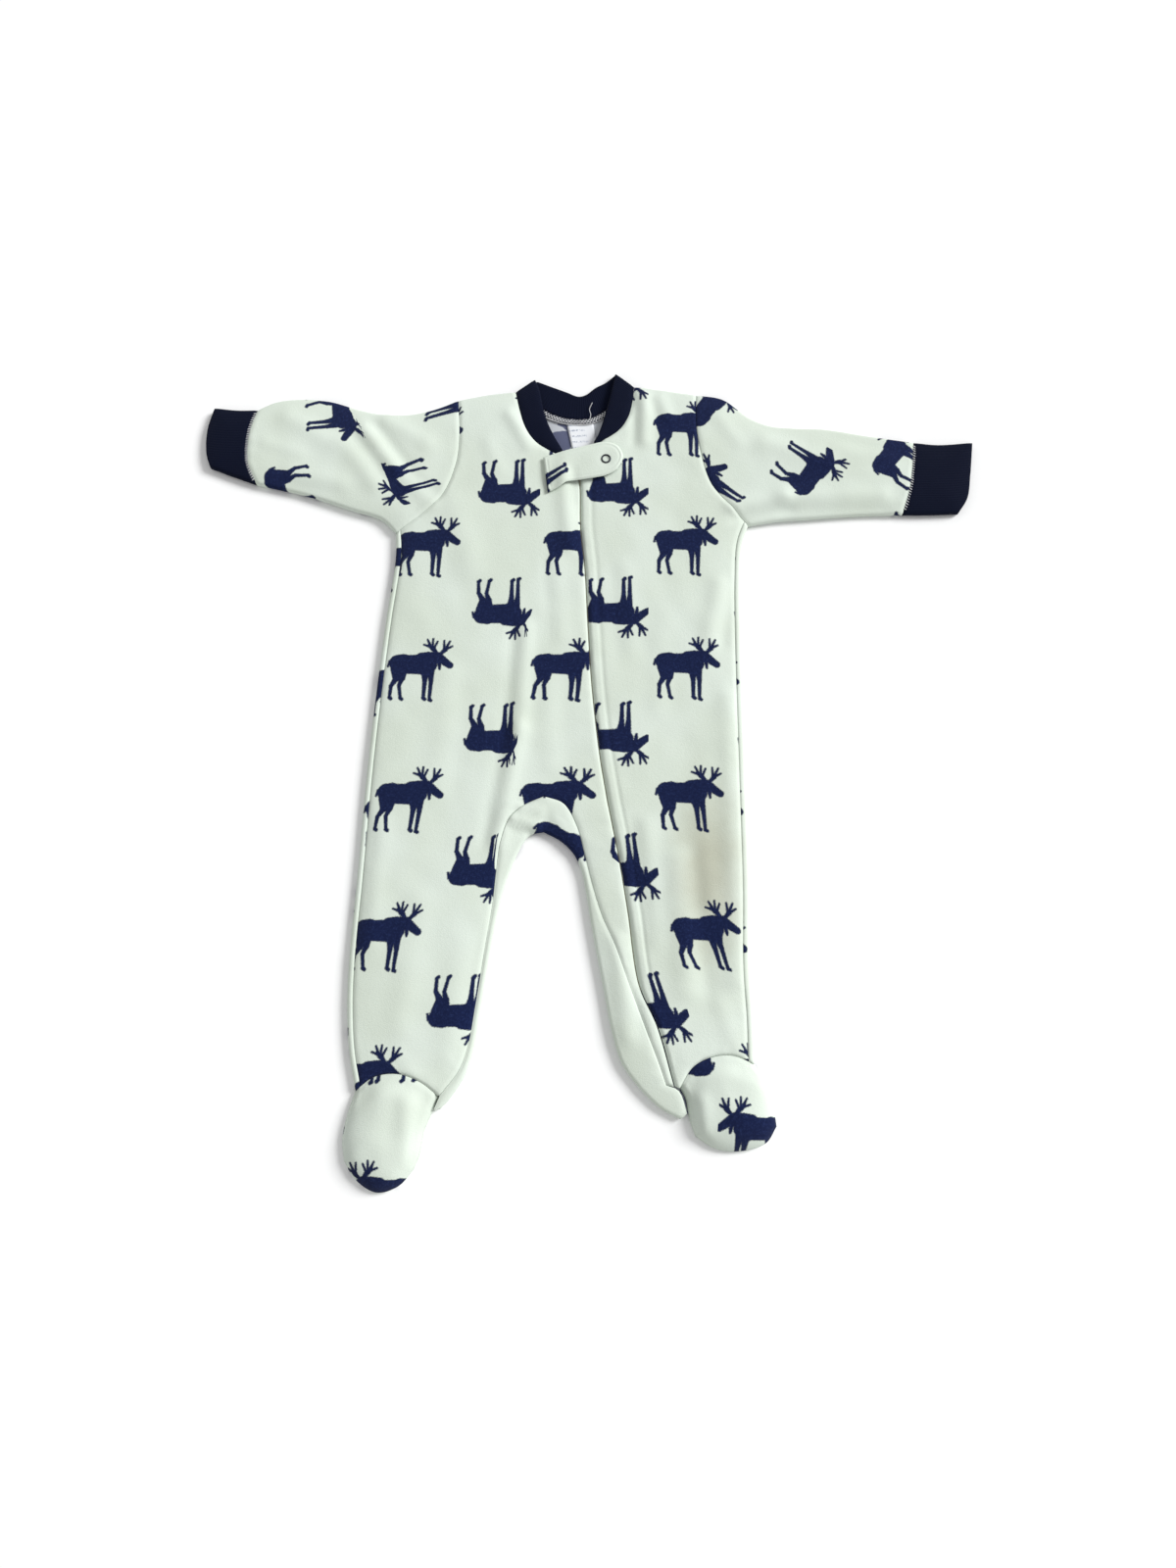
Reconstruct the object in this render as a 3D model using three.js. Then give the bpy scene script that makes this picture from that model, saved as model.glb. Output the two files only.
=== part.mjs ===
// A footed onesie pajama in fleece, laid flat on its back.
// Millimetres, +Z up, +Y towards the neck, and +X to the wearer's left.
// The lower layer lies on z = 0. The upper layer lies on it and swells a little away from the folded edges.
import * as THREE from "three";

// Thickness of each cloth and fitting
const FLEECE = 2.2;
const RIB = 2.4;
const TAB_CLOTH = 3.0;
const LABEL_CLOTH = 0.8;
const ZIP_TAPE = 1.0;

// Clear gap between neighbouring pieces
const SEAM = 0.3;

// The folded edges: their reach seen from above, and the height of the two layers there
const BEND = 3.0;
const EDGE_HEIGHT = 5.6;
const BEND_ANGLES = [90, 45, 0, -45, -90];

// The upper layer swells by this height, most of it within this run from an edge
const CROWN = 3.0;
const CROWN_RUN = 12;
const LOWEST_TOP = 5.0;

// The back comes round the sides to the front by this much
const SIDE_WRAP = 4.5;

// Steps along and across each panel
const ROWS = { armhole: 9, torso: 14, leg: 12, sleeve: 9, cuff: 3, foot: 8, wedge: 3 };
const COLUMNS = { rightLeg: 9, strip: 3, left: 10, backShoulder: 3, backNeck: 8, inner: 2, band: 2 };

// The neckband's front ends run down this many of the rows along the neck seam
const BAND_ROWS = 7;

// A smooth edge through rows of x, y
function edge(...rows) {
  return new THREE.CatmullRomCurve3(rows.map(([x, y]) => new THREE.Vector3(x, y, 0)), false, "centripetal");
}

// Where the shoulders end, at the neck and at the armholes
const NECK_RIGHT = [-62, 311];
const NECK_LEFT = [38, 316];
const SHOULDER_RIGHT = [-110, 303];
const SHOULDER_LEFT = [90, 308];
const UNDERARM_RIGHT = [-158, 182];
const UNDERARM_LEFT = [130, 189];

// The two peaks of the neckband, and the foot of the neck opening at the zip
const PEAK_RIGHT = [-46, 323];
const PEAK_LEFT = [22.5, 328.5];
const ZIP_TOP = [-9, 243];

// Cuffs: the two ends of the seam and of the open end
const CUFF_RIGHT = { top: [-278, 294], low: [-275, 226], endTop: [-314, 296], endLow: [-314, 241] };
const CUFF_LEFT = { top: [270, 264], low: [257, 199], endTop: [319, 264], endLow: [303, 200] };

// Ankles: the outer and inner ends of the seam to the foot
const ANKLE_RIGHT = { outer: [-171, -258], inner: [-110, -262] };
const ANKLE_LEFT = { outer: [121, -239], inner: [66, -256] };

// The inside of each leg, from the crotch to the ankle.
// Each row: folded edge x, y, then x, y of the seam that lies on the front beside it
const INNER_RIGHT = [
  [-35, -66, -35, -38.5],
  [-46, -69, -49, -44.5],
  [-54, -81, -61, -55],
  [-60, -96, -68, -75],
  [-65, -112, -71, -98],
  [-69, -129, -73.5, -124],
  [-74, -158, -78.5, -156],
  [-80, -198, -84.5, -197],
  [-85, -228, -89.5, -227],
  [-90.5, -246, -95.5, -243.5],
  [-97, -257, -109, -261.3],
];
const INNER_LEFT = [
  [-35, -66, -35, -38.5],
  [-22, -73, -20, -44],
  [-12, -83, -10, -61],
  [-6, -96, -4, -82],
  [-2.5, -112, 2, -106],
  [0.5, -131, 9, -129],
  [5, -156, 19, -152],
  [11, -187, 31, -185],
  [16, -213, 42, -215],
  [24, -239, 51, -239],
  [37, -257, 56, -254],
];
const [HEEL_RIGHT, HEEL_LEFT] = [INNER_RIGHT, INNER_LEFT].map((rows) => rows[rows.length - 1].slice(0, 2));
const [INSEAM_RIGHT, INSEAM_LEFT] = [INNER_RIGHT, INNER_LEFT].map((rows) => rows[rows.length - 1].slice(2));

// The garment's edges, each from the neck, armhole or crotch outwards
const EDGES = {
  shoulderRight: edge(SHOULDER_RIGHT, [-86, 308], NECK_RIGHT),
  shoulderLeft: edge(NECK_LEFT, [64, 312], SHOULDER_LEFT),
  armholeRight: edge(SHOULDER_RIGHT, [-108, 270], [-110, 244], [-120, 216], [-137, 198], UNDERARM_RIGHT),
  armholeLeft: edge(SHOULDER_LEFT, [89, 282], [92, 255], [100, 226], [114, 207], UNDERARM_LEFT),
  sleeveTopRight: edge(SHOULDER_RIGHT, [-129, 295], [-148, 290], [-171, 289.5], [-192, 294], [-218, 302],
    [-243, 304], [-264, 301], CUFF_RIGHT.top),
  sleeveTopLeft: edge(SHOULDER_LEFT, [112, 304], [135, 286], [152, 279], [172, 277], [197, 276], [232, 270],
    CUFF_LEFT.top),
  sleeveLowRight: edge(UNDERARM_RIGHT, [-170, 194], [-196, 203], [-234, 216], CUFF_RIGHT.low),
  sleeveLowLeft: edge(UNDERARM_LEFT, [155, 193], [180, 195], [220, 198], CUFF_LEFT.low),
  cuffSeamRight: edge(CUFF_RIGHT.top, [-283, 273], [-283, 246], CUFF_RIGHT.low),
  cuffSeamLeft: edge(CUFF_LEFT.top, [268, 246], [264, 222], CUFF_LEFT.low),
  cuffTopRight: edge(CUFF_RIGHT.top, [-296, 294], CUFF_RIGHT.endTop),
  cuffTopLeft: edge(CUFF_LEFT.top, [290, 262], CUFF_LEFT.endTop),
  cuffLowRight: edge(CUFF_RIGHT.low, [-294, 233], CUFF_RIGHT.endLow),
  cuffLowLeft: edge(CUFF_LEFT.low, [280, 199], CUFF_LEFT.endLow),
  cuffEndRight: edge(CUFF_RIGHT.endTop, [-318.6, 275], [-318, 254], CUFF_RIGHT.endLow),
  cuffEndLeft: edge(CUFF_LEFT.endTop, [315, 234], [311, 213], CUFF_LEFT.endLow),
  sideRight: edge(UNDERARM_RIGHT, [-157.5, 160], [-163, 108], [-168, 52], [-173, -20], [-177, -103],
    [-180, -161], [-180, -196], [-177, -230], ANKLE_RIGHT.outer),
  sideLeft: edge(UNDERARM_LEFT, [124.5, 172], [122, 140], [121, 90], [121, -10], [121, -110], [119.5, -170],
    [121, -206], ANKLE_LEFT.outer),
  innerRight: edge(...INNER_RIGHT.map(([x, y]) => [x, y])),
  innerLeft: edge(...INNER_LEFT.map(([x, y]) => [x, y])),
  archRight: edge(...INNER_RIGHT.map((row) => row.slice(2))),
  archLeft: edge(...INNER_LEFT.map((row) => row.slice(2))),
  neckRight: edge(NECK_RIGHT, [-58, 292], [-53, 276], [-45, 264], [-33, 255], [-22, 249], ZIP_TOP),
  neckLeft: edge(NECK_LEFT, [36, 300], [32, 285], [24, 273], [10, 263], [-1, 252], ZIP_TOP),
  neckBack: edge(NECK_RIGHT, [-50, 303], [-39, 296], [-24, 289], [-11, 287], [1, 288], [16, 297], [27, 306],
    NECK_LEFT),
  bandRight: edge(PEAK_RIGHT, [-42, 312], [-39, 296], [-35.5, 283], [-31, 272], [-22, 255]),
  bandLeft: edge(PEAK_LEFT, [19, 313], [15.5, 297], [11, 280], [7, 268], [4, 263]),
  bandBack: edge(PEAK_RIGHT, [-34, 318], [-19, 312], [-9, 308], [-2, 310], [5, 316], [14, 321], PEAK_LEFT),
  zip: edge(ZIP_TOP, [-7.5, 221], [-7, 186], [-3.5, 150], [-1, 101], [2, 52], [8, -4.5], [14, -42]),
  zipLeg: edge([14, -42], [23, -89], [29, -127], [37, -182], [50, -212], [62, -255]),
  ankleRight: edge(ANKLE_RIGHT.outer, [-157, -248], [-140, -246], [-123, -252], ANKLE_RIGHT.inner),
  ankleLeft: edge(ANKLE_LEFT.outer, [105, -233], [90, -234], [76, -241], ANKLE_LEFT.inner),
};

// The feet, seen from above: outer side, toe and inner side. Beside the inner side the back shows as a wedge,
// with a folded edge, a seam on top and the same seam's line on the floor.
const FEET = {
  right: {
    ankle: EDGES.ankleRight,
    outer: edge(ANKLE_RIGHT.outer, [-176, -274], [-179, -292], [-177, -307]),
    toe: edge([-177, -307], [-169, -319], [-153, -328.5], [-137, -324], [-127, -313]),
    inner: edge(ANKLE_RIGHT.inner, [-115, -274], [-120, -286], [-123, -303], [-127, -313]),
    wedgeEdge: edge(HEEL_RIGHT, [-103, -265], [-109, -271]),
    wedgeSeam: edge(INSEAM_RIGHT, [-111, -266], [-113.3, -271.5]),
    wedgeFloor: edge(ANKLE_RIGHT.inner, [-112.3, -267], [-114, -271.5]),
  },
  left: {
    ankle: EDGES.ankleLeft,
    outer: edge(ANKLE_LEFT.outer, [128, -248], [134, -268], [136, -283]),
    toe: edge([136, -283], [128, -294.5], [110, -300], [91, -298.5], [77, -290]),
    inner: edge(ANKLE_LEFT.inner, [70, -263], [72.5, -277], [77, -290]),
    wedgeEdge: edge(HEEL_LEFT, [51, -270], [66, -278]),
    wedgeSeam: edge(INSEAM_LEFT, [65, -257.8], [71, -274]),
    wedgeFloor: edge(ANKLE_LEFT.inner, [70, -263], [72, -274]),
  },
};

// Folds in the upper layer. Each row: from x, from y, to x, to y, half width, height
const FOLDS = [
  [-186, 272, -160, 237, 7, 2.6],
  [-204, 262, -176, 224, 8, 1.6],
  [-168, 283, -136, 262, 8, 1.4],
  [-250, 285, -214, 262, 9, 1.2],
  [118, 204, 160, 213, 7, 2.4],
  [160, 213, 240, 214, 8, 1.6],
  [146, 262, 196, 246, 9, 1.4],
  [-66, 287, -51, 259, 6, 1.6],
  [47, 304, 46, 264, 6, 2.0],
  [60, 303, 66, 285, 6, 1.2],
  [-22, 232, -16, 170, 6, 1.8],
  [-112, 210, -96, 150, 11, 1.2],
  [-50, 97, -55, 15, 9, 1.8],
  [-55, 15, -70, -74, 9, 2.2],
  [104, 136, 95, 90, 9, 1.6],
  [109, 40, 110, -178, 9, 1.6],
  [66, -89, 72, -185, 10, 1.8],
  [21, -149, 28, -218, 7, 1.6],
  [-128, -120, -140, -214, 11, 1.2],
  [-54, -58, -41, -62, 5, 1.4],
  [-133, -268, -132, -303, 7, 1.8],
  [82, -266, 82, -287, 6, 1.6],
  [116, -246, 124, -252, 6, 1.2],
];

// The fabric tab over the top of the zip. Each row: lower edge x, y, then upper edge x, y
const TAB_SECTIONS = [
  [-34, 218, -38, 251],
  [-26, 222, -30, 255],
  [-17, 227.5, -20, 257.2],
  [-6, 230.3, -10, 259.8],
  [5, 231.8, 2, 263.3],
  [13, 233, 10, 265.5],
  [20, 236, 18, 265.5],
  [25, 241, 24, 261.8],
  [27.7, 247.5, 28, 254],
];
const TAB_COLUMNS = 4;

// How far the tab's underside lies over the panels, at its sewn end and over the slider
const TAB_REST = 0.4;
const TAB_LIFT = 1.6;
const TAB_RISE = { from: -32, to: -18 };

// The press fastener at the tab's round end
const SNAP = { x: 14, y: 249, radius: 3.9, hole: 2.4, height: 0.9, round: 0.36, sides: 20 };
const SOCKET = { radius: 4.5, height: 1.0 };

// The zip: half its slit, half the mouth under the tab that holds the slider, half its tape, the tape's
// clearance under the fronts, and how many rows of the leg it goes down
const ZIP = { slit: 0.5, mouth: 2.7, halfTape: 4.5, under: 0.5, legRows: 8 };

// The slider narrows from the top to its nose, and its pull lies above it under the tab.
// The zip leans this much across for each step down.
const SLIDER = { top: 241.4, nose: 233, halfTop: 2.1, halfNose: 1.2, above: 1.2 };
const PULL = { halfWidth: 2.0, halfTip: 1.4, length: 13, thickness: 0.9 };
const ZIP_LEAN = 0.07;

// The care label's left and right edges, from the top down
const LABEL = { left: edge([-19, 283], [-11, 243]), right: edge([3, 285], [9.5, 245]), rows: 4, columns: 2 };

// The foot: height of the rim seam, swell of its upper, and the sole's slope
const FOOT = { rim: 3.0, bevel: 0.8, dome: 9.6, run: 7, blend: 16, sole: 2.7, slope: 0.31, hollow: 0.8 };

const COLOURS = { fleece: 0xe2e9da, navy: 0x0e1532, label: 0xeceef0, steel: 0xb9bcc4, tape: 0xe9e7da };

// The numbers from 0 to count - 1
function range(count) {
  return [...Array(count).keys()];
}

// Evenly spaced points along an edge, which may skip a length at each end
function along(curve, steps, skipStart = 0, skipEnd = 0) {
  const length = curve.getLength();
  const run = length - skipStart - skipEnd;
  return range(steps + 1).map((k) => {
    const share = (skipStart + (run * k) / steps) / length;
    return curve.getPointAt(THREE.MathUtils.clamp(share, 0, 1));
  });
}

// Points along an edge at equal shares of its rows, so that two edges of one table stay matched
function byRows(curve, steps) {
  return range(steps + 1).map((k) => curve.getPoint(k / steps));
}

// Unit directions square to a row of points: to its left with side 1, to its right with side -1
function squareTo(points, side) {
  return points.map((point, k) => {
    const ahead = points[Math.min(k + 1, points.length - 1)];
    const behind = points[Math.max(k - 1, 0)];
    const run = ahead.clone().sub(behind).normalize();
    return new THREE.Vector3(-run.y * side, run.x * side, 0);
  });
}

// The same points, each moved along its own direction
function moved(points, directions, distance) {
  return points.map((point, k) => point.clone().addScaledVector(directions[k], distance));
}

// A row of points moved sideways as a whole
function beside(points, side, distance) {
  return moved(points, squareTo(points, side), distance);
}

// The direction in which an edge runs on past its end, and back past its start
function pastEnd(curve) {
  return curve.getTangentAt(1);
}

function pastStart(curve) {
  return curve.getTangentAt(0).negate();
}

// The shortest way in plan from a point to a row of points
function distanceTo(points, x, y) {
  let nearest = Infinity;
  for (let k = 1; k < points.length; k += 1) {
    const a = points[k - 1];
    const b = points[k];
    const dx = b.x - a.x;
    const dy = b.y - a.y;
    const share = THREE.MathUtils.clamp(((x - a.x) * dx + (y - a.y) * dy) / (dx * dx + dy * dy), 0, 1);
    nearest = Math.min(nearest, Math.hypot(x - a.x - share * dx, y - a.y - share * dy));
  }
  return nearest;
}

// The outline that the upper layer falls away to
const OUTLINE_STEPS = 24;
const OUTLINE = [
  EDGES.shoulderRight, EDGES.shoulderLeft, EDGES.sleeveTopRight, EDGES.sleeveTopLeft,
  EDGES.sleeveLowRight, EDGES.sleeveLowLeft, EDGES.cuffTopRight, EDGES.cuffTopLeft,
  EDGES.cuffLowRight, EDGES.cuffLowLeft, EDGES.cuffEndRight, EDGES.cuffEndLeft,
  EDGES.sideRight, EDGES.sideLeft, EDGES.innerRight, EDGES.innerLeft,
  FEET.right.wedgeEdge, FEET.left.wedgeEdge, edge(NECK_RIGHT, PEAK_RIGHT), edge(NECK_LEFT, PEAK_LEFT),
].map((curve) => along(curve, OUTLINE_STEPS));

// Height of the garment's upper surface
function topOf(x, y) {
  const reach = Math.min(...OUTLINE.map((points) => distanceTo(points, x, y)));
  let height = EDGE_HEIGHT + CROWN * (1 - Math.exp(-reach / CROWN_RUN));
  for (const [fromX, fromY, toX, toY, width, ridge] of FOLDS) {
    const line = [new THREE.Vector3(fromX, fromY, 0), new THREE.Vector3(toX, toY, 0)];
    height += ridge * Math.exp(-((distanceTo(line, x, y) / width) ** 2));
  }
  return Math.max(height, LOWEST_TOP);
}

// How far along a row each of its points lies, as a share of its length
function shares(points) {
  const lengths = [0];
  for (let k = 1; k < points.length; k += 1) {
    lengths.push(lengths[k - 1] + points[k].distanceTo(points[k - 1]));
  }
  return lengths.map((length) => length / lengths[points.length - 1]);
}

// A surface through four edges, as rows of points. The top and bottom run across, the sides down.
// The corners are those of the top and bottom.
function between(top, bottom, left, right) {
  const end = top.length - 1;
  const [topShares, lowShares, leftShares, rightShares] = [top, bottom, left, right].map(shares);
  return left.map((leftPoint, row) => {
    if (row === 0 || row === left.length - 1) {
      return row === 0 ? top : bottom;
    }
    const v = (leftShares[row] + rightShares[row]) / 2;
    return top.map((topPoint, column) => {
      const u = THREE.MathUtils.lerp(topShares[column], lowShares[column], v);
      const point = new THREE.Vector3();
      point.addScaledVector(topPoint, 1 - v).addScaledVector(bottom[column], v);
      point.addScaledVector(leftPoint, 1 - u).addScaledVector(right[row], u);
      point.addScaledVector(top[0], -(1 - u) * (1 - v)).addScaledVector(top[end], -u * (1 - v));
      point.addScaledVector(bottom[0], -(1 - u) * v).addScaledVector(bottom[end], -u * v);
      return point;
    });
  });
}

// Two rows of points joined by straight lines
function ruled(left, right, steps) {
  const row = (from, to) => range(steps + 1).map((column) => from.clone().lerp(to, column / steps));
  return left.map((point, k) => row(point, right[k]));
}

// A pair holds a wall's outer and inner point at one place
function pair(outer, inner) {
  return { outer, inner };
}

function at(point, z) {
  return new THREE.Vector3(point.x, point.y, z);
}

// The wall's pairs on the upper layer and on the lower one
function upper(point, thickness = FLEECE) {
  const top = topOf(point.x, point.y);
  return pair(at(point, top), at(point, top - thickness));
}

function lower(point, thickness = FLEECE) {
  return pair(at(point, 0), at(point, thickness));
}

// The folded edge at one outline point, from the upper layer round to the lower one
function bend(point, out, thickness = FLEECE, lowOut = out) {
  const half = topOf(point.x - BEND * out.x, point.y - BEND * out.y) / 2;
  return BEND_ANGLES.map((degrees) => {
    const angle = THREE.MathUtils.degToRad(degrees);
    const direction = degrees >= 0 ? out : lowOut;
    const start = point.clone().addScaledVector(direction, -BEND);
    const outer = start.clone().addScaledVector(direction, BEND * Math.cos(angle));
    const inner = start.clone().addScaledVector(direction, (BEND - thickness) * Math.cos(angle));
    const [outerZ, innerZ] = [half, half - thickness].map((rise) => half + rise * Math.sin(angle));
    return pair(at(outer, outerZ), at(inner, innerZ));
  });
}

// A closed wall, gathered from patches that share their edge points
class Wall {
  constructor() {
    this.pairs = [];
    this.places = new Map();
    this.faces = [];
  }

  add({ outer, inner }) {
    const key = [...outer.toArray(), ...inner.toArray()].map((value) => Math.round(value * 1000)).join(" ");
    if (!this.places.has(key)) {
      this.places.set(key, this.pairs.length);
      this.pairs.push(pair(outer, inner));
    }
    return this.places.get(key);
  }

  // How far a triangle's own face looks the way from the inner points to the outer ones
  facing(a, b, c) {
    const [pa, pb, pc] = [a, b, c].map((index) => this.pairs[index]);
    const normal = pb.outer.clone().sub(pa.outer).cross(pc.outer.clone().sub(pa.outer));
    const out = new THREE.Vector3();
    for (const { outer, inner } of [pa, pb, pc]) {
      out.add(outer).sub(inner);
    }
    return normal.dot(out);
  }

  triangle(a, b, c) {
    if (a !== b && b !== c && c !== a) {
      this.faces.push(this.facing(a, b, c) > 0 ? [a, b, c] : [a, c, b]);
    }
  }

  // Four corners in turn, cut along the diagonal that leaves the better two triangles
  quad(a, b, c, d) {
    const cuts = [[[a, b, c], [a, c, d]], [[a, b, d], [b, c, d]]];
    const worst = (cut) => {
      const [first, second] = cut.map((corners) => this.facing(...corners));
      return Math.sign(first * second) * Math.min(Math.abs(first), Math.abs(second));
    };
    const best = worst(cuts[0]) >= worst(cuts[1]) ? cuts[0] : cuts[1];
    best.forEach((corners) => this.triangle(...corners));
  }

  // A grid of pairs
  patch(rows) {
    const indices = rows.map((row) => row.map((entry) => this.add(entry)));
    for (let row = 1; row < indices.length; row += 1) {
      for (let column = 1; column < indices[row].length; column += 1) {
        this.quad(indices[row - 1][column - 1], indices[row - 1][column],
          indices[row][column], indices[row][column - 1]);
      }
    }
  }

  // A level area inside a closed row of points
  level(contour, toPair) {
    const indices = contour.map((point) => this.add(toPair(point)));
    const flat = contour.map((point) => new THREE.Vector2(point.x, point.y));
    for (const [a, b, c] of THREE.ShapeUtils.triangulateShape(flat, [])) {
      this.triangle(indices[a], indices[b], indices[c]);
    }
  }

  // Both faces, joined by a rim along every open edge
  geometry() {
    const count = this.pairs.length;
    const points = [...this.pairs.map(({ outer }) => outer), ...this.pairs.map(({ inner }) => inner)];
    const positions = points.flatMap((point) => point.toArray());
    const open = new Map();
    const triangles = [];
    for (const [a, b, c] of this.faces) {
      triangles.push([a, b, c], [a + count, c + count, b + count]);
      for (const [from, to] of [[a, b], [b, c], [c, a]]) {
        const back = `${to} ${from}`;
        if (!open.delete(back)) {
          open.set(`${from} ${to}`, [from, to]);
        }
      }
    }
    for (const [from, to] of open.values()) {
      triangles.push([to, from, from + count], [to, from + count, to + count]);
    }
    const geometry = new THREE.BufferGeometry();
    geometry.setAttribute("position", new THREE.Float32BufferAttribute(positions, 3));
    geometry.setIndex(triangles.flat());
    return geometry;
  }
}

const garment = new THREE.Group();

function addMesh(name, geometry, color, { roughness = 0.95, metalness = 0 } = {}) {
  geometry.computeVertexNormals();
  const mesh = new THREE.Mesh(geometry, new THREE.MeshStandardMaterial({ color, roughness, metalness }));
  mesh.name = name;
  garment.add(mesh);
}

// Points across an armhole or a cuff seam: the front panel's points, then the sleeve's own edge
function acrossSleeve(curve) {
  const points = along(curve, ROWS.armhole, BEND, SIDE_WRAP + SEAM);
  points[0] = curve.getPointAt(0).addScaledVector(pastStart(curve), -BEND);
  points.push(curve.getPointAt(1).addScaledVector(pastEnd(curve), -BEND));
  return points;
}

// Places and outward directions along a folded edge, whose ends may face another way
function folded(points, side, startOut, endOut) {
  const out = squareTo(points, side);
  out[0] = startOut ?? out[0];
  out[out.length - 1] = endOut ?? out[out.length - 1];
  return { points, out };
}

// A flattened tube: upper layer, lower layer and the two folded edges between them
function flatTube(start, end, topEdge, lowEdge, thickness) {
  const wall = new Wall();
  const left = moved(topEdge.points, topEdge.out, -BEND);
  const right = moved(lowEdge.points, lowEdge.out, -BEND);
  const grid = between(start, end, left, right);
  wall.patch(grid.map((row) => row.map((point) => upper(point, thickness))));
  for (const { points, out } of [topEdge, lowEdge]) {
    wall.patch(points.map((point, k) => bend(point, out[k], thickness)));
  }
  const sides = grid.slice(1, -1);
  const contour = [
    ...grid[0], ...sides.map((row) => row[row.length - 1]),
    ...[...grid[grid.length - 1]].reverse(), ...sides.map((row) => row[0]).reverse(),
  ];
  wall.level(contour, (point) => lower(point, thickness));
  return wall.geometry();
}

// A sleeve from its armhole to the cuff seam, and the cuff from there to its open end.
// The side says on which hand the sleeve's top edge has its outside.
function buildSleeve(hand, side, armhole, top, low, seam, cuffTop, cuffLow, cuffEnd) {
  const across = squareTo(acrossSleeve(armhole), side);
  const start = moved(acrossSleeve(armhole), across, SEAM);
  const topPoints = along(top, ROWS.sleeve);
  const lowPoints = along(low, ROWS.sleeve);
  topPoints[0].addScaledVector(across[0], SEAM);
  lowPoints[0].addScaledVector(across[across.length - 1], SEAM);
  const topEdge = folded(topPoints, side, pastStart(armhole), pastStart(seam));
  const lowEdge = folded(lowPoints, -side, pastEnd(armhole), pastEnd(seam));
  addMesh(`sleeve_${hand}`, flatTube(start, acrossSleeve(seam), topEdge, lowEdge, FLEECE), COLOURS.fleece);

  const seamAcross = squareTo(acrossSleeve(seam), side);
  const cuffStart = moved(acrossSleeve(seam), seamAcross, SEAM);
  const cuffTopPoints = along(cuffTop, ROWS.cuff);
  const cuffLowPoints = along(cuffLow, ROWS.cuff);
  cuffTopPoints[0].addScaledVector(seamAcross[0], SEAM);
  cuffLowPoints[0].addScaledVector(seamAcross[seamAcross.length - 1], SEAM);
  const cuffTopEdge = folded(cuffTopPoints, side, pastStart(seam), pastStart(cuffEnd));
  const cuffLowEdge = folded(cuffLowPoints, -side, pastEnd(seam), pastEnd(cuffEnd));
  const cuff = flatTube(cuffStart, acrossSleeve(cuffEnd), cuffTopEdge, cuffLowEdge, RIB);
  addMesh(`cuff_${hand}`, cuff, COLOURS.navy);
}

// The rest of the places that neighbouring panels share
const LEG_END = ROWS.torso + ROWS.leg;
const ARMHOLE_RIGHT = acrossSleeve(EDGES.armholeRight);
const ARMHOLE_LEFT = acrossSleeve(EDGES.armholeLeft);
const NECK_RIGHT_ROWS = along(EDGES.neckRight, ROWS.armhole, BEND);
const NECK_LEFT_ROWS = along(EDGES.neckLeft, ROWS.armhole, BEND);
const ARCH_RIGHT = byRows(EDGES.archRight, ROWS.leg);
const ARCH_LEFT = byRows(EDGES.archLeft, ROWS.leg);
const ZIP_ROWS = [...along(EDGES.zip, ROWS.torso), ...along(EDGES.zipLeg, ROWS.leg).slice(1)];

// A side of the torso and leg, whose last place follows the ankle seam and stands clear of the foot
function sideOf(curve, side, armhole, ankle) {
  const ankleStart = along(ankle, 1, 0, ankle.getLength() - SIDE_WRAP);
  const out = ankleStart[0].clone().sub(ankleStart[1]).normalize();
  const places = folded(along(curve, LEG_END), side, pastEnd(armhole), out);
  places.points[LEG_END].addScaledVector(squareTo(ankleStart, -side)[0], SEAM);
  return places;
}

const SIDE_RIGHT = sideOf(EDGES.sideRight, -1, EDGES.armholeRight, EDGES.ankleRight);
const SIDE_LEFT = sideOf(EDGES.sideLeft, 1, EDGES.armholeLeft, EDGES.ankleLeft);

// One side of the zip's slit, with its wider mouth at the top
function slitEdge(side) {
  const out = squareTo(ZIP_ROWS, side);
  return ZIP_ROWS.map((point, k) => point.clone().addScaledVector(out[k], k === 0 ? ZIP.mouth : ZIP.slit));
}

// A front's side edge, from the shoulder to the ankle
function frontSide(armhole, { points, out }) {
  return [...armhole.slice(0, ROWS.armhole), ...moved(points, out, -SIDE_WRAP - SEAM)];
}

// The shoulder edge of a front, with its neck end kept clear of the neckband
function shoulderOf(points, neckRows, neckSide, startOut, endOut, neckIndex) {
  const places = folded(points, 1, startOut, endOut);
  places.points[neckIndex].addScaledVector(squareTo(neckRows, neckSide)[0], SEAM);
  return places;
}

// Rows of points laid on the upper layer
function layUpper(wall, rows) {
  wall.patch(rows.map((row) => row.map((point) => upper(point))));
}

// Points from one place to another through a third, with steps before and after it
function throughPoint(start, middle, end, before, after) {
  const first = range(before).map((k) => start.clone().lerp(middle, k / before));
  const second = range(after + 1).map((k) => middle.clone().lerp(end, k / after));
  return [...first, ...second];
}

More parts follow.
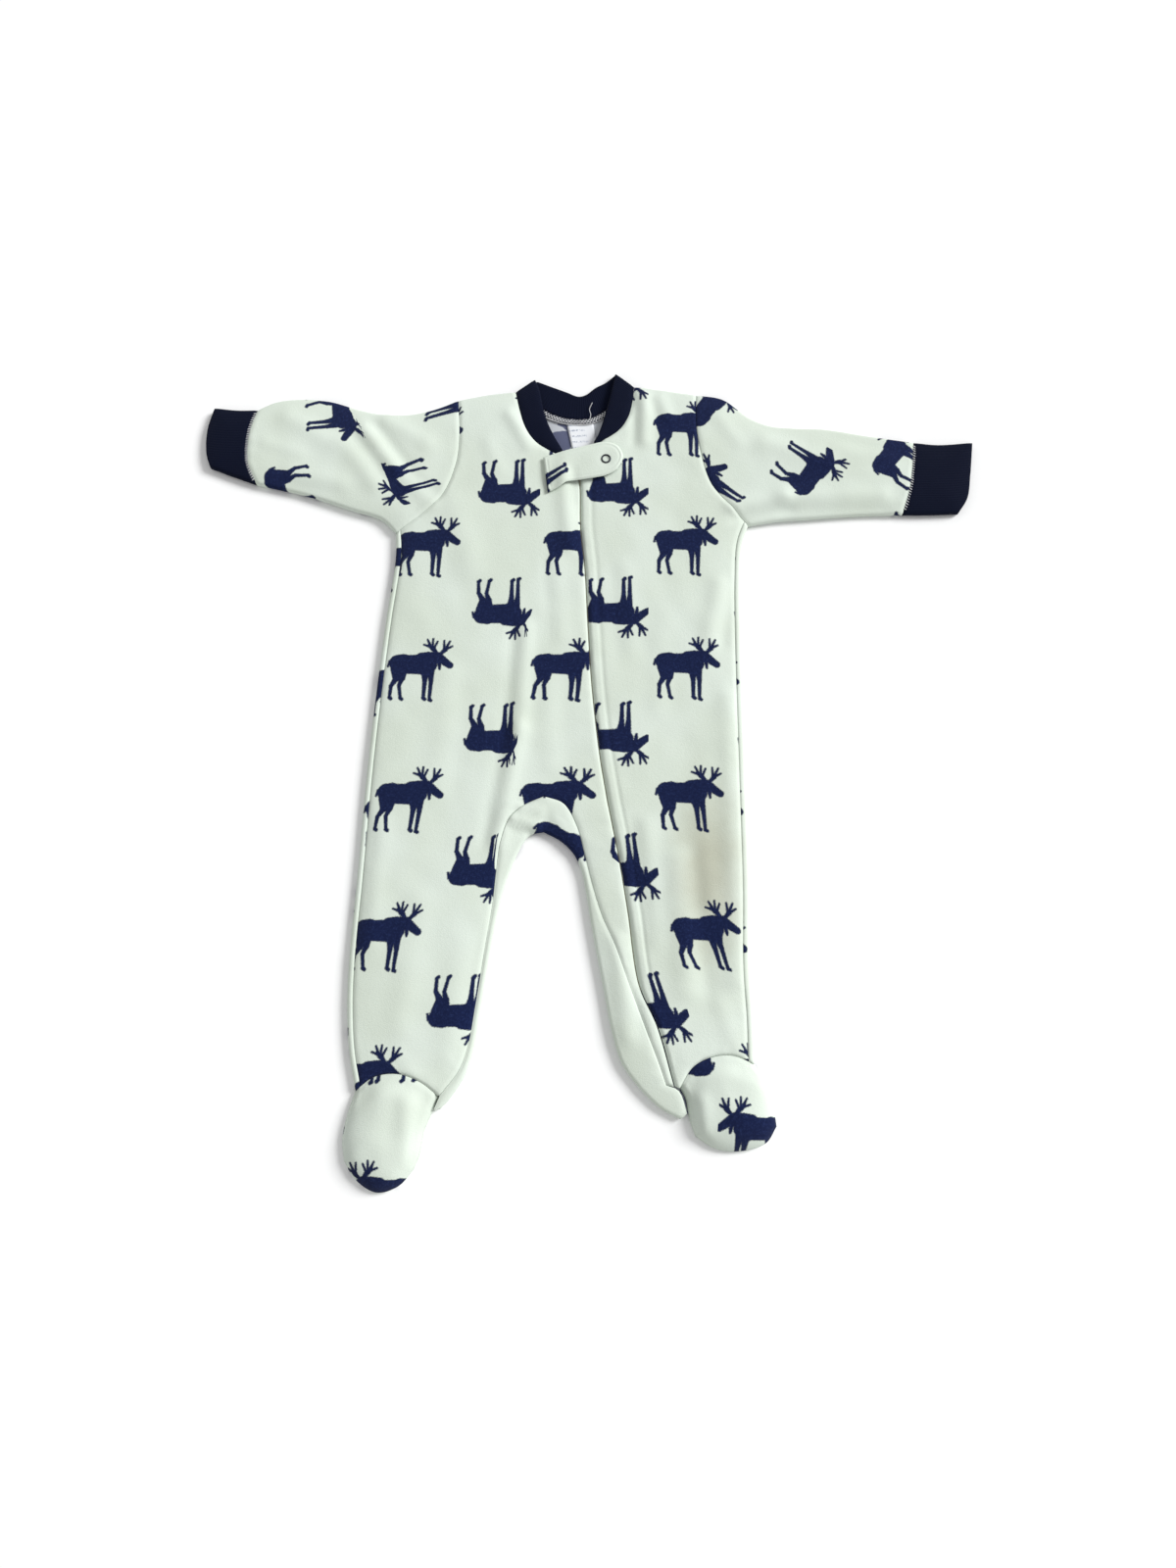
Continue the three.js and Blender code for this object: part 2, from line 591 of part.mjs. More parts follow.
// The right front: right half of the torso, the right leg, and a strip down the left leg beside the zip
function buildFrontRight() {
  const wall = new Wall();
  const columns = COLUMNS.rightLeg + COLUMNS.strip;
  const torsoRows = ROWS.armhole + ROWS.torso;
  const shoulder = shoulderOf(along(EDGES.shoulderRight, columns), NECK_RIGHT_ROWS, -1,
    pastStart(EDGES.armholeRight), pastStart(EDGES.neckRight), columns);
  const side = frontSide(ARMHOLE_RIGHT, SIDE_RIGHT);
  const slit = slitEdge(-1);
  const neckAndSlit = [...beside(NECK_RIGHT_ROWS, -1, SEAM).slice(0, ROWS.armhole), ...slit];
  const inseam = beside(ARCH_RIGHT, -1, SEAM);
  const stripSide = beside(ARCH_LEFT, 1, SEAM);
  stripSide[0] = inseam[0];

  wall.patch(shoulder.points.map((point, k) => bend(point, shoulder.out[k])));
  const crotchRow = throughPoint(side[torsoRows], inseam[0], neckAndSlit[torsoRows],
    COLUMNS.rightLeg, COLUMNS.strip);
  const shoulderRow = moved(shoulder.points, shoulder.out, -BEND);
  const [torsoSide, torsoSlit] = [side, neckAndSlit].map((points) => points.slice(0, torsoRows + 1));
  layUpper(wall, between(shoulderRow, crotchRow, torsoSide, torsoSlit));

  const ankle = beside(along(EDGES.ankleRight, COLUMNS.rightLeg, SIDE_WRAP), 1, SEAM);
  ankle[0] = side[side.length - 1];
  ankle[COLUMNS.rightLeg] = inseam[ROWS.leg];
  layUpper(wall, between(crotchRow.slice(0, COLUMNS.rightLeg + 1), ankle, side.slice(torsoRows), inseam));

  stripSide[ROWS.leg].y += SEAM;
  const stripSlit = slit.slice(ROWS.torso);
  const stripEnd = ruled([stripSide[ROWS.leg]], [stripSlit[ROWS.leg]], COLUMNS.strip)[0];
  layUpper(wall, between(crotchRow.slice(COLUMNS.rightLeg), stripEnd, stripSide, stripSlit));
  addMesh("front_right", wall.geometry(), COLOURS.fleece);
}

// The left front: from the zip to the left side
function buildFrontLeft() {
  const wall = new Wall();
  const shoulder = shoulderOf(along(EDGES.shoulderLeft, COLUMNS.left), NECK_LEFT_ROWS, 1,
    pastStart(EDGES.neckLeft), pastStart(EDGES.armholeLeft), 0);
  const side = frontSide(ARMHOLE_LEFT, SIDE_LEFT);
  const neckAndSlit = [...beside(NECK_LEFT_ROWS, 1, SEAM).slice(0, ROWS.armhole), ...slitEdge(1)];
  const ankle = beside(along(EDGES.ankleLeft, COLUMNS.left - 1, SIDE_WRAP), -1, SEAM);
  ankle[0] = side[side.length - 1];
  const ankleRow = [neckAndSlit[neckAndSlit.length - 1], ...ankle.reverse()];

  wall.patch(shoulder.points.map((point, k) => bend(point, shoulder.out[k])));
  layUpper(wall, between(moved(shoulder.points, shoulder.out, -BEND), ankleRow, neckAndSlit, side));
  addMesh("front_left", wall.geometry(), COLOURS.fleece);
}

// The folded edge between the legs, from heel to heel over the crotch, and the seam on top beside it
function innerEdge() {
  const legs = [
    [along(FEET.right.wedgeEdge, ROWS.wedge), along(FEET.right.wedgeSeam, ROWS.wedge)],
    [byRows(EDGES.innerRight, ROWS.leg), ARCH_RIGHT],
    [byRows(EDGES.innerLeft, ROWS.leg), ARCH_LEFT],
    [along(FEET.left.wedgeEdge, ROWS.wedge), along(FEET.left.wedgeSeam, ROWS.wedge)],
  ];
  const [points, seam] = [0, 1].map((column) => [
    ...[...legs[0][column]].reverse(), ...[...legs[1][column]].reverse().slice(1),
    ...legs[2][column].slice(1), ...legs[3][column].slice(1),
  ]);
  const towards = (k) => points[k].clone().sub(seam[k]).normalize();
  return { ...folded(points, -1, towards(0), towards(points.length - 1)), seam };
}

// The back's floor outline at one foot, from the ankle's outer end to the wedge's tip
function backAtFoot({ ankle, wedgeFloor }, side) {
  const across = beside(along(ankle, COLUMNS.rightLeg, SIDE_WRAP), side, SEAM);
  const down = beside(along(wedgeFloor, ROWS.wedge), side, SEAM);
  return [...across.slice(0, -1), across[across.length - 1].lerp(down[0], 0.5), ...down.slice(1)];
}

// The back: one level sheet under the whole garment, folded up round the sides, legs and crotch
function buildBack() {
  const wall = new Wall();
  const inner = innerEdge();
  const insideOf = ({ points, out }, distance) => moved(points, out, -distance);
  const shoulderRight = folded(along(EDGES.shoulderRight, COLUMNS.backShoulder), 1,
    pastStart(EDGES.armholeRight), pastStart(EDGES.neckRight));
  const shoulderLeft = folded(along(EDGES.shoulderLeft, COLUMNS.backShoulder), 1,
    pastStart(EDGES.neckLeft), pastStart(EDGES.armholeLeft));
  const neck = beside(along(EDGES.neckBack, COLUMNS.backNeck, BEND, BEND), -1, SEAM);
  const down = (armhole, side) => [...armhole.slice(1, ROWS.armhole + 1), ...insideOf(side, BEND)];
  const contour = [
    ...insideOf(shoulderRight, BEND + SEAM).reverse(),
    ...down(ARMHOLE_RIGHT, SIDE_RIGHT),
    ...backAtFoot(FEET.right, 1),
    ...insideOf(inner, BEND),
    ...backAtFoot(FEET.left, -1).reverse(),
    ...down(ARMHOLE_LEFT, SIDE_LEFT).reverse(),
    ...insideOf(shoulderLeft, BEND + SEAM).reverse(),
    ...neck.slice(1, -1).reverse(),
  ];
  wall.level(contour, (point) => lower(point));

  for (const { points, out } of [SIDE_RIGHT, SIDE_LEFT]) {
    const seam = moved(points, out, -SIDE_WRAP);
    wall.patch(points.map((point, k) => [upper(seam[k]), ...bend(point, out[k])]));
  }
  const top = ruled(inner.seam, insideOf(inner, BEND), COLUMNS.inner);
  wall.patch(inner.points.map((point, k) => [
    ...top[k].slice(0, -1).map((place) => upper(place)), ...bend(point, inner.out[k]),
  ]));
  addMesh("back", wall.geometry(), COLOURS.fleece);
}

// The neckband: up one front, folded over at a peak, behind the neck, and down the other front
function buildNeckband() {
  const wall = new Wall();
  const mix = (a, b, share) => a.clone().lerp(b, share).normalize();
  const foldAt = (corner, peak, front, frontBand, backSeam, backBand) => (
    range(COLUMNS.band + 1).map((column) => {
      const share = column / COLUMNS.band;
      const place = new THREE.Vector3(...corner, 0).lerp(new THREE.Vector3(...peak, 0), share);
      return bend(place, mix(front, frontBand, share), RIB, mix(backSeam, backBand, share));
    }));
  const front = (neckRows, band, corner) => {
    const strip = ruled(neckRows.slice(0, BAND_ROWS + 1), along(band, BAND_ROWS, BEND), COLUMNS.band);
    const rows = strip.map((row) => row.map((point) => upper(point, RIB)));
    rows[0] = corner.map((pairs) => pairs[0]);
    return rows;
  };
  const right = foldAt(NECK_RIGHT, PEAK_RIGHT, pastStart(EDGES.neckRight), pastStart(EDGES.bandRight),
    pastStart(EDGES.neckBack), pastStart(EDGES.bandBack));
  const left = foldAt(NECK_LEFT, PEAK_LEFT, pastStart(EDGES.neckLeft), pastStart(EDGES.bandLeft),
    pastEnd(EDGES.neckBack), pastEnd(EDGES.bandBack));
  const behind = ruled(along(EDGES.neckBack, COLUMNS.backNeck, BEND, BEND),
    along(EDGES.bandBack, COLUMNS.backNeck, BEND, BEND), COLUMNS.band)
    .map((row) => row.map((point) => lower(point, RIB)));
  const last = BEND_ANGLES.length - 1;
  behind[0] = right.map((pairs) => pairs[last]);
  behind[COLUMNS.backNeck] = left.map((pairs) => pairs[last]);
  wall.patch(front(NECK_RIGHT_ROWS, EDGES.bandRight, right));
  wall.patch(right);
  wall.patch(behind);
  wall.patch(left);
  wall.patch(front(NECK_LEFT_ROWS, EDGES.bandLeft, left));
  addMesh("neckband", wall.geometry(), COLOURS.navy);
}

// One foot: a domed upper whose rim stands on the sole, and the sole with the folded cloth inside the foot.
// The side is where the inside lies, going down the outer side.
function buildFoot(hand, side, { ankle, outer, toe, inner }) {
  const [rows, columns] = [ROWS.foot, COLUMNS.rightLeg + 1];
  const [start] = along(ankle, 1);
  const left = along(outer, rows);
  const right = along(inner, rows);
  const ankleRow = [start, ...along(ankle, columns - 1, SIDE_WRAP)];
  const toeRow = along(toe, columns);
  const rim = [...left, ...toeRow.slice(1, -1), ...[...right].reverse()];
  const inside = moved(rim, squareTo(rim, side), FLEECE);
  const grid = between(ankleRow, toeRow, left, right);

  const rimIndex = (row, column) => {
    if (column === 0) {
      return row;
    }
    if (column === columns) {
      return 2 * rows + columns - row;
    }
    return row === rows ? rows + column : -1;
  };
  const upperPair = (point, row, column) => {
    const index = rimIndex(row, column);
    if (index >= 0) {
      return pair(at(point, FOOT.rim), at(inside[index], FOOT.rim + FOOT.bevel));
    }
    const reach = distanceTo(rim, point.x, point.y);
    const dome = FOOT.rim + FOOT.dome * (1 - Math.exp(-reach / FOOT.run));
    const slope = (FOOT.dome / FOOT.run) * Math.exp(-reach / FOOT.run);
    const share = THREE.MathUtils.smoothstep(distanceTo(ankleRow, point.x, point.y), 0, FOOT.blend);
    const top = THREE.MathUtils.lerp(topOf(point.x, point.y), dome, share);
    return pair(at(point, top), at(point, top - FLEECE * Math.hypot(1, slope * share)));
  };
  const pairs = grid.map((line, row) => line.map((point, column) => upperPair(point, row, column)));
  const cover = new Wall();
  cover.patch(pairs);
  addMesh(`foot_upper_${hand}`, cover.geometry(), COLOURS.fleece);

  const soleTop = (point, row, column) => {
    const reach = distanceTo(rim, point.x, point.y);
    const under = pairs[row][column].inner.z - FOOT.hollow;
    return rimIndex(row, column) >= 0 ? FOOT.sole : Math.min(under, FOOT.sole + FOOT.slope * reach);
  };
  const sole = new Wall();
  sole.patch(grid.map((line, row) => line.map((point, column) => (
    pair(at(point, soleTop(point, row, column)), at(point, 0))))));
  addMesh(`sole_${hand}`, sole.geometry(), COLOURS.fleece);
}

// A plate from rows of points: its underside at a height that depends on the place
function plate(rows, thickness, underside) {
  const wall = new Wall();
  wall.patch(rows.map((row) => row.map((point) => {
    const low = underside(point);
    return pair(at(point, low + thickness), at(point, low));
  })));
  return wall.geometry();
}

function tabUnderside({ x, y }) {
  const lift = THREE.MathUtils.smoothstep(x, TAB_RISE.from, TAB_RISE.to);
  return topOf(x, y) + THREE.MathUtils.lerp(TAB_REST, TAB_LIFT, lift);
}

function buildTab() {
  const low = TAB_SECTIONS.map(([x, y]) => new THREE.Vector3(x, y, 0));
  const high = TAB_SECTIONS.map((row) => new THREE.Vector3(row[2], row[3], 0));
  addMesh("zip_tab", plate(ruled(low, high, TAB_COLUMNS), TAB_CLOTH, tabUnderside), COLOURS.fleece);
}

// The press fastener: a ring on the tab, and the socket under the tab on the left front
function buildSnap() {
  const { x, y, radius, hole, height, round, sides } = SNAP;
  const profile = [
    [hole, 0], [radius, 0], [radius, height - round], [radius - round, height],
    [hole + round, height], [hole, height - round], [hole, 0],
  ].map(([across, up]) => new THREE.Vector2(across, up));
  const around = range(sides).map((k) => (k / sides) * 2 * Math.PI);
  const highest = (reach, surface) => Math.max(...around.map((angle) => (
    surface({ x: x + reach * Math.cos(angle), y: y + reach * Math.sin(angle) }))));
  const ring = new THREE.LatheGeometry(profile, sides);
  ring.rotateX(Math.PI / 2);
  ring.translate(x, y, highest(radius, tabUnderside) + TAB_CLOTH + SEAM);
  addMesh("snap_ring", ring, COLOURS.steel, { roughness: 0.35, metalness: 0.9 });

  const socket = new THREE.CylinderGeometry(SOCKET.radius, SOCKET.radius, SOCKET.height, sides);
  const socketBase = highest(SOCKET.radius, (place) => topOf(place.x, place.y)) + SEAM;
  socket.rotateX(Math.PI / 2);
  socket.translate(x, y, socketBase + SOCKET.height / 2);
  addMesh("snap_socket", socket, COLOURS.steel, { roughness: 0.35, metalness: 0.9 });
}

// The zip: its tape under the two fronts, the slider in the mouth and the pull above it
function buildZip() {
  const rows = ZIP_ROWS.slice(0, ROWS.torso + ZIP.legRows + 1);
  const left = beside(rows, -1, ZIP.halfTape);
  const right = beside(rows, 1, ZIP.halfTape);
  const tapeTop = ({ x, y }) => topOf(x, y) - FLEECE - ZIP.under;
  const tape = plate(ruled(left, right, 2), ZIP_TAPE, (point) => tapeTop(point) - ZIP_TAPE);
  addMesh("zip_tape", tape, COLOURS.tape);

  const across = (y) => ZIP_TOP[0] + ZIP_LEAN * (ZIP_TOP[1] - y);
  const taper = (lowY, lowHalf, highY, highHalf) => new THREE.Shape([
    new THREE.Vector2(across(lowY) - lowHalf, lowY), new THREE.Vector2(across(lowY) + lowHalf, lowY),
    new THREE.Vector2(across(highY) + highHalf, highY), new THREE.Vector2(across(highY) - highHalf, highY),
  ]);
  const middle = { x: ZIP_TOP[0], y: (SLIDER.top + SLIDER.nose) / 2 };
  const base = tapeTop(middle) + SEAM;
  const height = topOf(middle.x, middle.y) + SLIDER.above - base;
  const outline = taper(SLIDER.nose, SLIDER.halfNose, SLIDER.top, SLIDER.halfTop);
  const slider = new THREE.ExtrudeGeometry(outline, { depth: height, bevelEnabled: false });
  slider.translate(0, 0, base);
  addMesh("zip_slider", slider, COLOURS.steel, { roughness: 0.4, metalness: 0.8 });

  const start = SLIDER.top + SEAM;
  const pullOutline = taper(start, PULL.halfWidth, start + PULL.length, PULL.halfTip);
  const pull = new THREE.ExtrudeGeometry(pullOutline, { depth: PULL.thickness, bevelEnabled: false });
  pull.translate(0, 0, base + height - PULL.thickness);
  addMesh("zip_pull", pull, COLOURS.steel, { roughness: 0.4, metalness: 0.8 });
}

function buildLabel() {
  const rows = ruled(along(LABEL.left, LABEL.rows), along(LABEL.right, LABEL.rows), LABEL.columns);
  addMesh("care_label", plate(rows, LABEL_CLOTH, () => FLEECE + SEAM), COLOURS.label);
}

buildBack();
buildFrontRight();
buildFrontLeft();
buildSleeve("right", -1, EDGES.armholeRight, EDGES.sleeveTopRight, EDGES.sleeveLowRight, EDGES.cuffSeamRight,
  EDGES.cuffTopRight, EDGES.cuffLowRight, EDGES.cuffEndRight);
buildSleeve("left", 1, EDGES.armholeLeft, EDGES.sleeveTopLeft, EDGES.sleeveLowLeft, EDGES.cuffSeamLeft,
  EDGES.cuffTopLeft, EDGES.cuffLowLeft, EDGES.cuffEndLeft);
buildNeckband();
buildFoot("right", 1, FEET.right);
buildFoot("left", -1, FEET.left);
buildTab();
buildSnap();
buildZip();
buildLabel();

export default garment;
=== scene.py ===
"""A child's footed fleece onesie pajama, zipped up and laid flat on its back.

+Z is up, +Y points to the neck and +X to the wearer's left. Sizes and places are in millimetres, and each
finished piece is scaled to metres. Right and left are the wearer's.
"""
import math
from collections import namedtuple

import bmesh
import bpy
from mathutils import Matrix, Vector, kdtree, noise


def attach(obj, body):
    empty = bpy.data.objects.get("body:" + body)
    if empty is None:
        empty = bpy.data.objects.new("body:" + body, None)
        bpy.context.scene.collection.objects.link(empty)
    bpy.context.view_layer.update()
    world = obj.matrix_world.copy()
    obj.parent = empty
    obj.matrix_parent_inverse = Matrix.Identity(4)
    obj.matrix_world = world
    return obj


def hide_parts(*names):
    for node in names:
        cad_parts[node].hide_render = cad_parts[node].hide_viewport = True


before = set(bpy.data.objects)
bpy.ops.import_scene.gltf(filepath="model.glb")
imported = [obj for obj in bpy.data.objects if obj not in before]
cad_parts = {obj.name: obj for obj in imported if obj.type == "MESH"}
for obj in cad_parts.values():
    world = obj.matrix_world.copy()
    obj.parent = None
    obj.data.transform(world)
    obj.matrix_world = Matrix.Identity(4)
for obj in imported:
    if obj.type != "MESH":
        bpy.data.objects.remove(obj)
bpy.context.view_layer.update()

MM = 0.001

# Thickness of each cloth
FLEECE = 2.0
RIB = 2.2
TAB_CLOTH = 2.6
LABEL_CLOTH = 0.6

# Clear gap between neighbouring pieces, and the distance at which points are one
SEAM = 0.12
WELD = 0.02

# The folded edges: their reach seen from above, the height of the two layers there, and how far from an
# end they turn to the direction of the seam there
BEND = 3.0
EDGE_HEIGHT = 5.6
FAN = 12
BEND_ANGLES = [math.radians(degrees) for degrees in (90, 67.5, 45, 22.5, 0, -22.5, -45, -67.5, -90)]

# The upper layer swells by this height, most of it within this run from an edge
CROWN = 3.0
CROWN_RUN = 12
LOWEST_TOP = 4.6

# The back comes round the sides to the front by this much
SIDE_WRAP = 4.5

# The cloth sinks into a seam by this depth, within this distance
SEAM_DIP = 0.9
SEAM_RUN = 1.7

# Steps along and across each panel
ARMHOLE_ROWS = 36
TORSO_ROWS = 96
LEG_ROWS_EACH = 8
SLEEVE_ROWS = 64
CUFF_ROWS = 16
FOOT_ROWS = 34
WEDGE_ROWS = 8
LEG_COLUMNS = 40
STRIP_COLUMNS = 12
LEFT_COLUMNS = 54
NECK_COLUMNS = 40
BAND_COLUMNS = 8
INNER_COLUMNS = 8
CROWDED = 0.6
LINE_STEP = 0.8

# Where the shoulders end, at the neck and at the armholes
NECK_RIGHT = (-62, 311)
NECK_LEFT = (38, 316)
SHOULDER_RIGHT = (-110, 303)
SHOULDER_LEFT = (90, 308)
UNDERARM_RIGHT = (-158, 182)
UNDERARM_LEFT = (130, 189)

# The two peaks of the neckband, and the foot of the neck opening at the zip
PEAK_RIGHT = (-46, 323)
PEAK_LEFT = (22.5, 328.5)
ZIP_TOP = (-9, 243)

Cuff = namedtuple("Cuff", "top low end_top end_low")
CUFF_RIGHT = Cuff((-278, 294), (-275, 226), (-314, 296), (-314, 241))
CUFF_LEFT = Cuff((270, 264), (257, 199), (319, 264), (303, 200))

Ankle = namedtuple("Ankle", "outer inner")
ANKLE_RIGHT = Ankle((-171, -258), (-110, -262))
ANKLE_LEFT = Ankle((121, -239), (66, -256))

# The inside of each leg, from the crotch to the ankle.
# Each row: folded edge x, y, then x, y of the seam that lies on the front beside it
INNER_RIGHT = [
    (-35, -66, -35, -38.5),
    (-46, -69, -49, -44.5),
    (-54, -81, -61, -55),
    (-60, -96, -68, -75),
    (-65, -112, -71, -98),
    (-69, -129, -73.5, -124),
    (-74, -158, -78.5, -156),
    (-80, -198, -84.5, -197),
    (-85, -228, -89.5, -227),
    (-90.5, -246, -95.5, -243.5),
    (-97, -257, -109, -261.3),
]
INNER_LEFT = [
    (-35, -66, -35, -38.5),
    (-22, -73, -20, -44),
    (-12, -83, -10, -61),
    (-6, -96, -4, -82),
    (-2.5, -112, 2, -106),
    (0.5, -131, 9, -129),
    (5, -156, 19, -152),
    (11, -187, 31, -185),
    (16, -213, 42, -215),
    (24, -239, 51, -239),
    (37, -257, 56, -254),
]

# Creases in the upper layer. Each row: from x, from y, to x, to y, half width, rise, and the side on
# which a trough lies beside the ridge: 1 to the left of its run, -1 to the right, 0 none
CREASES = [
    # Right sleeve
    (-186, 272, -160, 237, 7, 2.6, 1),
    (-204, 262, -176, 224, 8, 1.6, 1),
    (-168, 283, -136, 262, 8, 1.4, 0),
    (-250, 285, -214, 262, 9, 1.2, 0),
    (-246, 236, -205, 226, 7, 0.8, -1),
    (-268, 262, -240, 252, 6, 0.6, 0),
    (-150, 226, -128, 206, 6, 0.9, 1),
    # Left sleeve
    (118, 204, 160, 213, 7, 2.4, -1),
    (160, 213, 240, 214, 8, 1.6, -1),
    (146, 262, 196, 246, 9, 1.4, 0),
    (205, 256, 250, 246, 7, 0.6, 1),
    (108, 284, 124, 262, 7, 0.8, 0),
    # Beside the neck
    (-66, 287, -51, 259, 6, 1.6, 1),
    (47, 304, 46, 264, 6, 2.0, -1),
    (60, 303, 66, 285, 6, 1.2, -1),
    (-84, 262, -74, 236, 7, 0.7, 0),
    # Torso, from the zip outwards
    (-22, 232, -16, 170, 6, 1.8, 1),
    (-27, 158, -22, 92, 6, 0.7, -1),
    (-112, 210, -96, 150, 11, 1.2, 0),
    (-50, 97, -55, 15, 7, 1.8, -1),
    (-55, 15, -70, -74, 7, 2.2, -1),
    (-112, 60, -118, -30, 10, 0.7, 1),
    (-34, 60, -30, -12, 8, 0.6, 1),
    (104, 136, 95, 90, 8, 1.5, 1),
    (30, 150, 34, 82, 8, 0.6, -1),
    (58, 110, 54, 30, 9, 0.6, 0),
    # Left leg
    (109, 40, 110, -178, 9, 1.6, 1),
    (66, -89, 72, -185, 10, 1.8, 1),
    (44, -60, 52, -150, 7, 0.8, -1),
    (86, -30, 90, -120, 8, 0.7, 0),
    (21, -149, 28, -218, 7, 1.6, 1),
    (96, -196, 108, -228, 7, 0.8, 0),
    # Right leg
    (-128, -120, -140, -214, 11, 1.2, 0),
    (-96, -150, -104, -232, 9, 0.8, 1),
    (-158, -60, -164, -150, 7, 0.7, -1),
    (-140, -232, -128, -248, 6, 0.7, 0),
    # Crotch
    (-58, -57, -40, -62, 4, 2.2, -1),
    (-52, -48, -38, -50, 4, 1.2, 1),
    (-26, -56, -12, -74, 4, 1.0, 0),
    # Feet
    (-133, -268, -132, -303, 7, 1.8, 1),
    (-150, -262, -158, -288, 8, 0.8, 0),
    (82, -266, 82, -287, 6, 1.6, -1),
    (116, -246, 124, -252, 6, 1.2, 0),
    (98, -262, 112, -284, 7, 0.7, 0),
]

# Creases that swallow cloth, so that the print jumps there.
# Each row: from x, from y, to x, to y, then the cloth swallowed in x and in y
TUCKS = [
    (-50, 97, -55, 15, 6, 0),
    (-55, 15, -70, -74, 9, 0),
    (-192, 280, -166, 230, 12, 16),
]

# How far the print has drifted to the left's side, down each leg. Each row: y, drift
DRIFT_RIGHT = [(330, 3), (171, 0), (70, -3), (-39, -8), (-147, -22), (-250, -33), (-330, -42)]
DRIFT_LEFT = [(330, 0), (64, -3), (-44, -3), (-152, 8), (-205, 24), (-330, 44)]

# The print: a moose for each cell, where every second column is upside down, half a row lower
# and a little to the left's side
CELL_WIDTH = 60
CELL_HEIGHT = 105
HALF_DROP = 53
ODD_SHIFT = 5

# Cloth beyond this length carries no print
BARE_FROM = 4000

# How each piece lies on the printed cloth: turn in degrees, and where the middle of one moose is.
# The moose there is upright on the cloth, or upside down.
Cut = namedtuple("Cut", "turn x y upright drift")
CUTS = {
    "front_right": Cut(0, -131, 168.5, True, DRIFT_RIGHT),
    "front_left": Cut(0, 80, 169.5, True, DRIFT_LEFT),
    "back": Cut(0, -28, 156, True, []),
    "crotch": Cut(-32, -15, -80, True, []),
    "plain": Cut(0, -BARE_FROM - 100, 0, True, []),
    "sleeve_right": Cut(-80, -211, 288, True, []),
    "sleeve_left": Cut(53, 178.5, 234.5, False, []),
    "foot_upper_right": Cut(180, -144, -332, False, []),
    "foot_upper_left": Cut(176, 122, -289, False, []),
    "sole_right": Cut(0, -150, -300, True, []),
    "sole_left": Cut(0, 100, -260, True, []),
    "zip_tab": Cut(120, -36.5, 217.5, True, []),
}

# One moose seen from its right, as overlapping limbs that taper.
# Each row: from x, y, radius, to x, y, radius
MOOSE = [
    # Body
    (-16, 5, 7.6, 3, 4.6, 8.2),
    (-18, 6.4, 6.6, -14, 6.2, 7.4),
    (2, 7.6, 7.2, 6.5, 9, 6.2),
    (5, 2, 6.8, 8.5, 4, 5.4),
    (-24.2, 7.5, 1.2, -25.4, 3.6, 0.8),
    # Neck and head
    (8, 8, 6.0, 14, 10.2, 4.2),
    (14, 11, 3.9, 20, 6.6, 2.9),
    (20, 6.4, 3.0, 24, 3.6, 2.6),
    (15.5, 5.5, 1.7, 16, 0.8, 0.9),
    (12.5, 13.5, 1.5, 8.8, 14.6, 0.6),
    # Antlers
    (13.2, 13.6, 1.2, 9.4, 18.2, 2.0),
    (9.4, 18.2, 1.9, 6.6, 20.6, 1.4),
    (7, 19.6, 1.0, 2.4, 21.2, 0.7),
    (7.2, 21, 1.0, 5.0, 25.4, 0.7),
    (9.2, 20, 1.0, 9.4, 26, 0.7),
    (10.4, 18.2, 1.0, 13, 23.8, 0.7),
    (15.8, 13.4, 1.2, 19.4, 17.0, 1.9),
    (19.6, 17.2, 1.3, 24.8, 19.8, 0.7),
    (19.8, 18, 1.2, 22.8, 24, 0.7),
    (18.6, 17.6, 1.1, 18.2, 24.4, 0.7),
    # Front legs
    (4.8, 0, 3.6, 5.0, -9, 1.9),
    (5.0, -9, 1.8, 4.8, -22.5, 1.25),
    (4.8, -23, 1.5, 6.0, -24.2, 1.4),
    (9, 0, 3.2, 9.9, -9, 1.8),
    (9.9, -9, 1.7, 9.7, -24, 1.2),
    (9.7, -24.6, 1.4, 11, -25.3, 1.3),
    # Hind legs
    (-17.5, 0.5, 5.6, -18, -7, 2.7),
    (-18, -7, 2.4, -21.6, -13, 1.5),
    (-21.6, -13, 1.5, -22, -22, 1.2),
    (-22, -22.4, 1.4, -20.8, -23.4, 1.3),
    (-14, 0, 5.0, -13.2, -6.5, 2.5),
    (-13.2, -6.5, 2.3, -15.2, -12.6, 1.4),
    (-15.2, -12.6, 1.4, -13.4, -22.6, 1.2),
    (-13.4, -23, 1.4, -12.1, -24, 1.3),
]

# The fabric tab over the top of the zip. Each row: lower edge x, y, then upper edge x, y
TAB_SECTIONS = [
    (-34, 215.5, -38, 247),
    (-25.5, 219.6, -29, 250),
    (-16, 225, -18, 253.2),
    (-6, 226.6, -8, 255.8),
    (4, 228.2, 3, 258.6),
    (12, 229.8, 11, 260.2),
    (18, 232.4, 18, 259.6),
    (23, 236, 23.5, 257),
    (26.8, 242, 27, 252),
]
TAB_TIP = (28, 247)
TAB_REST = 0.4
TAB_LIFT = 1.6
TAB_RISE = (-32, -18)

# The zip: half its slit, half the mouth under the tab that holds the slider, and how far the sewn
# strip beside it reaches, to its side and in points down the leg
HALF_SLIT = 0.45
HALF_MOUTH = 2.7
WELT = 9.5
WELT_POINTS = 170

# The care label's left and right edges, from the top down
LABEL_LEFT = ((-19, 283), (-11, 243))
LABEL_RIGHT = ((3, 285), (9.5, 245))

# The foot: height of the rim seam, and swell of its upper
FOOT_RIM = 3.0
FOOT_DOME = 9.6
FOOT_RUN = 7
FOOT_BLEND = 16

# The camera of the photograph: a focal length in pixels of its 1600 rows, and its place
FOCAL_PIXELS = 1158
IMAGE_ROWS = 1600
SENSOR = 36
CAMERA_PLACE = (-1, -226, 862)
CAMERA_TILT = 13


def lerp(a, b, share):
    return a + (b - a) * share


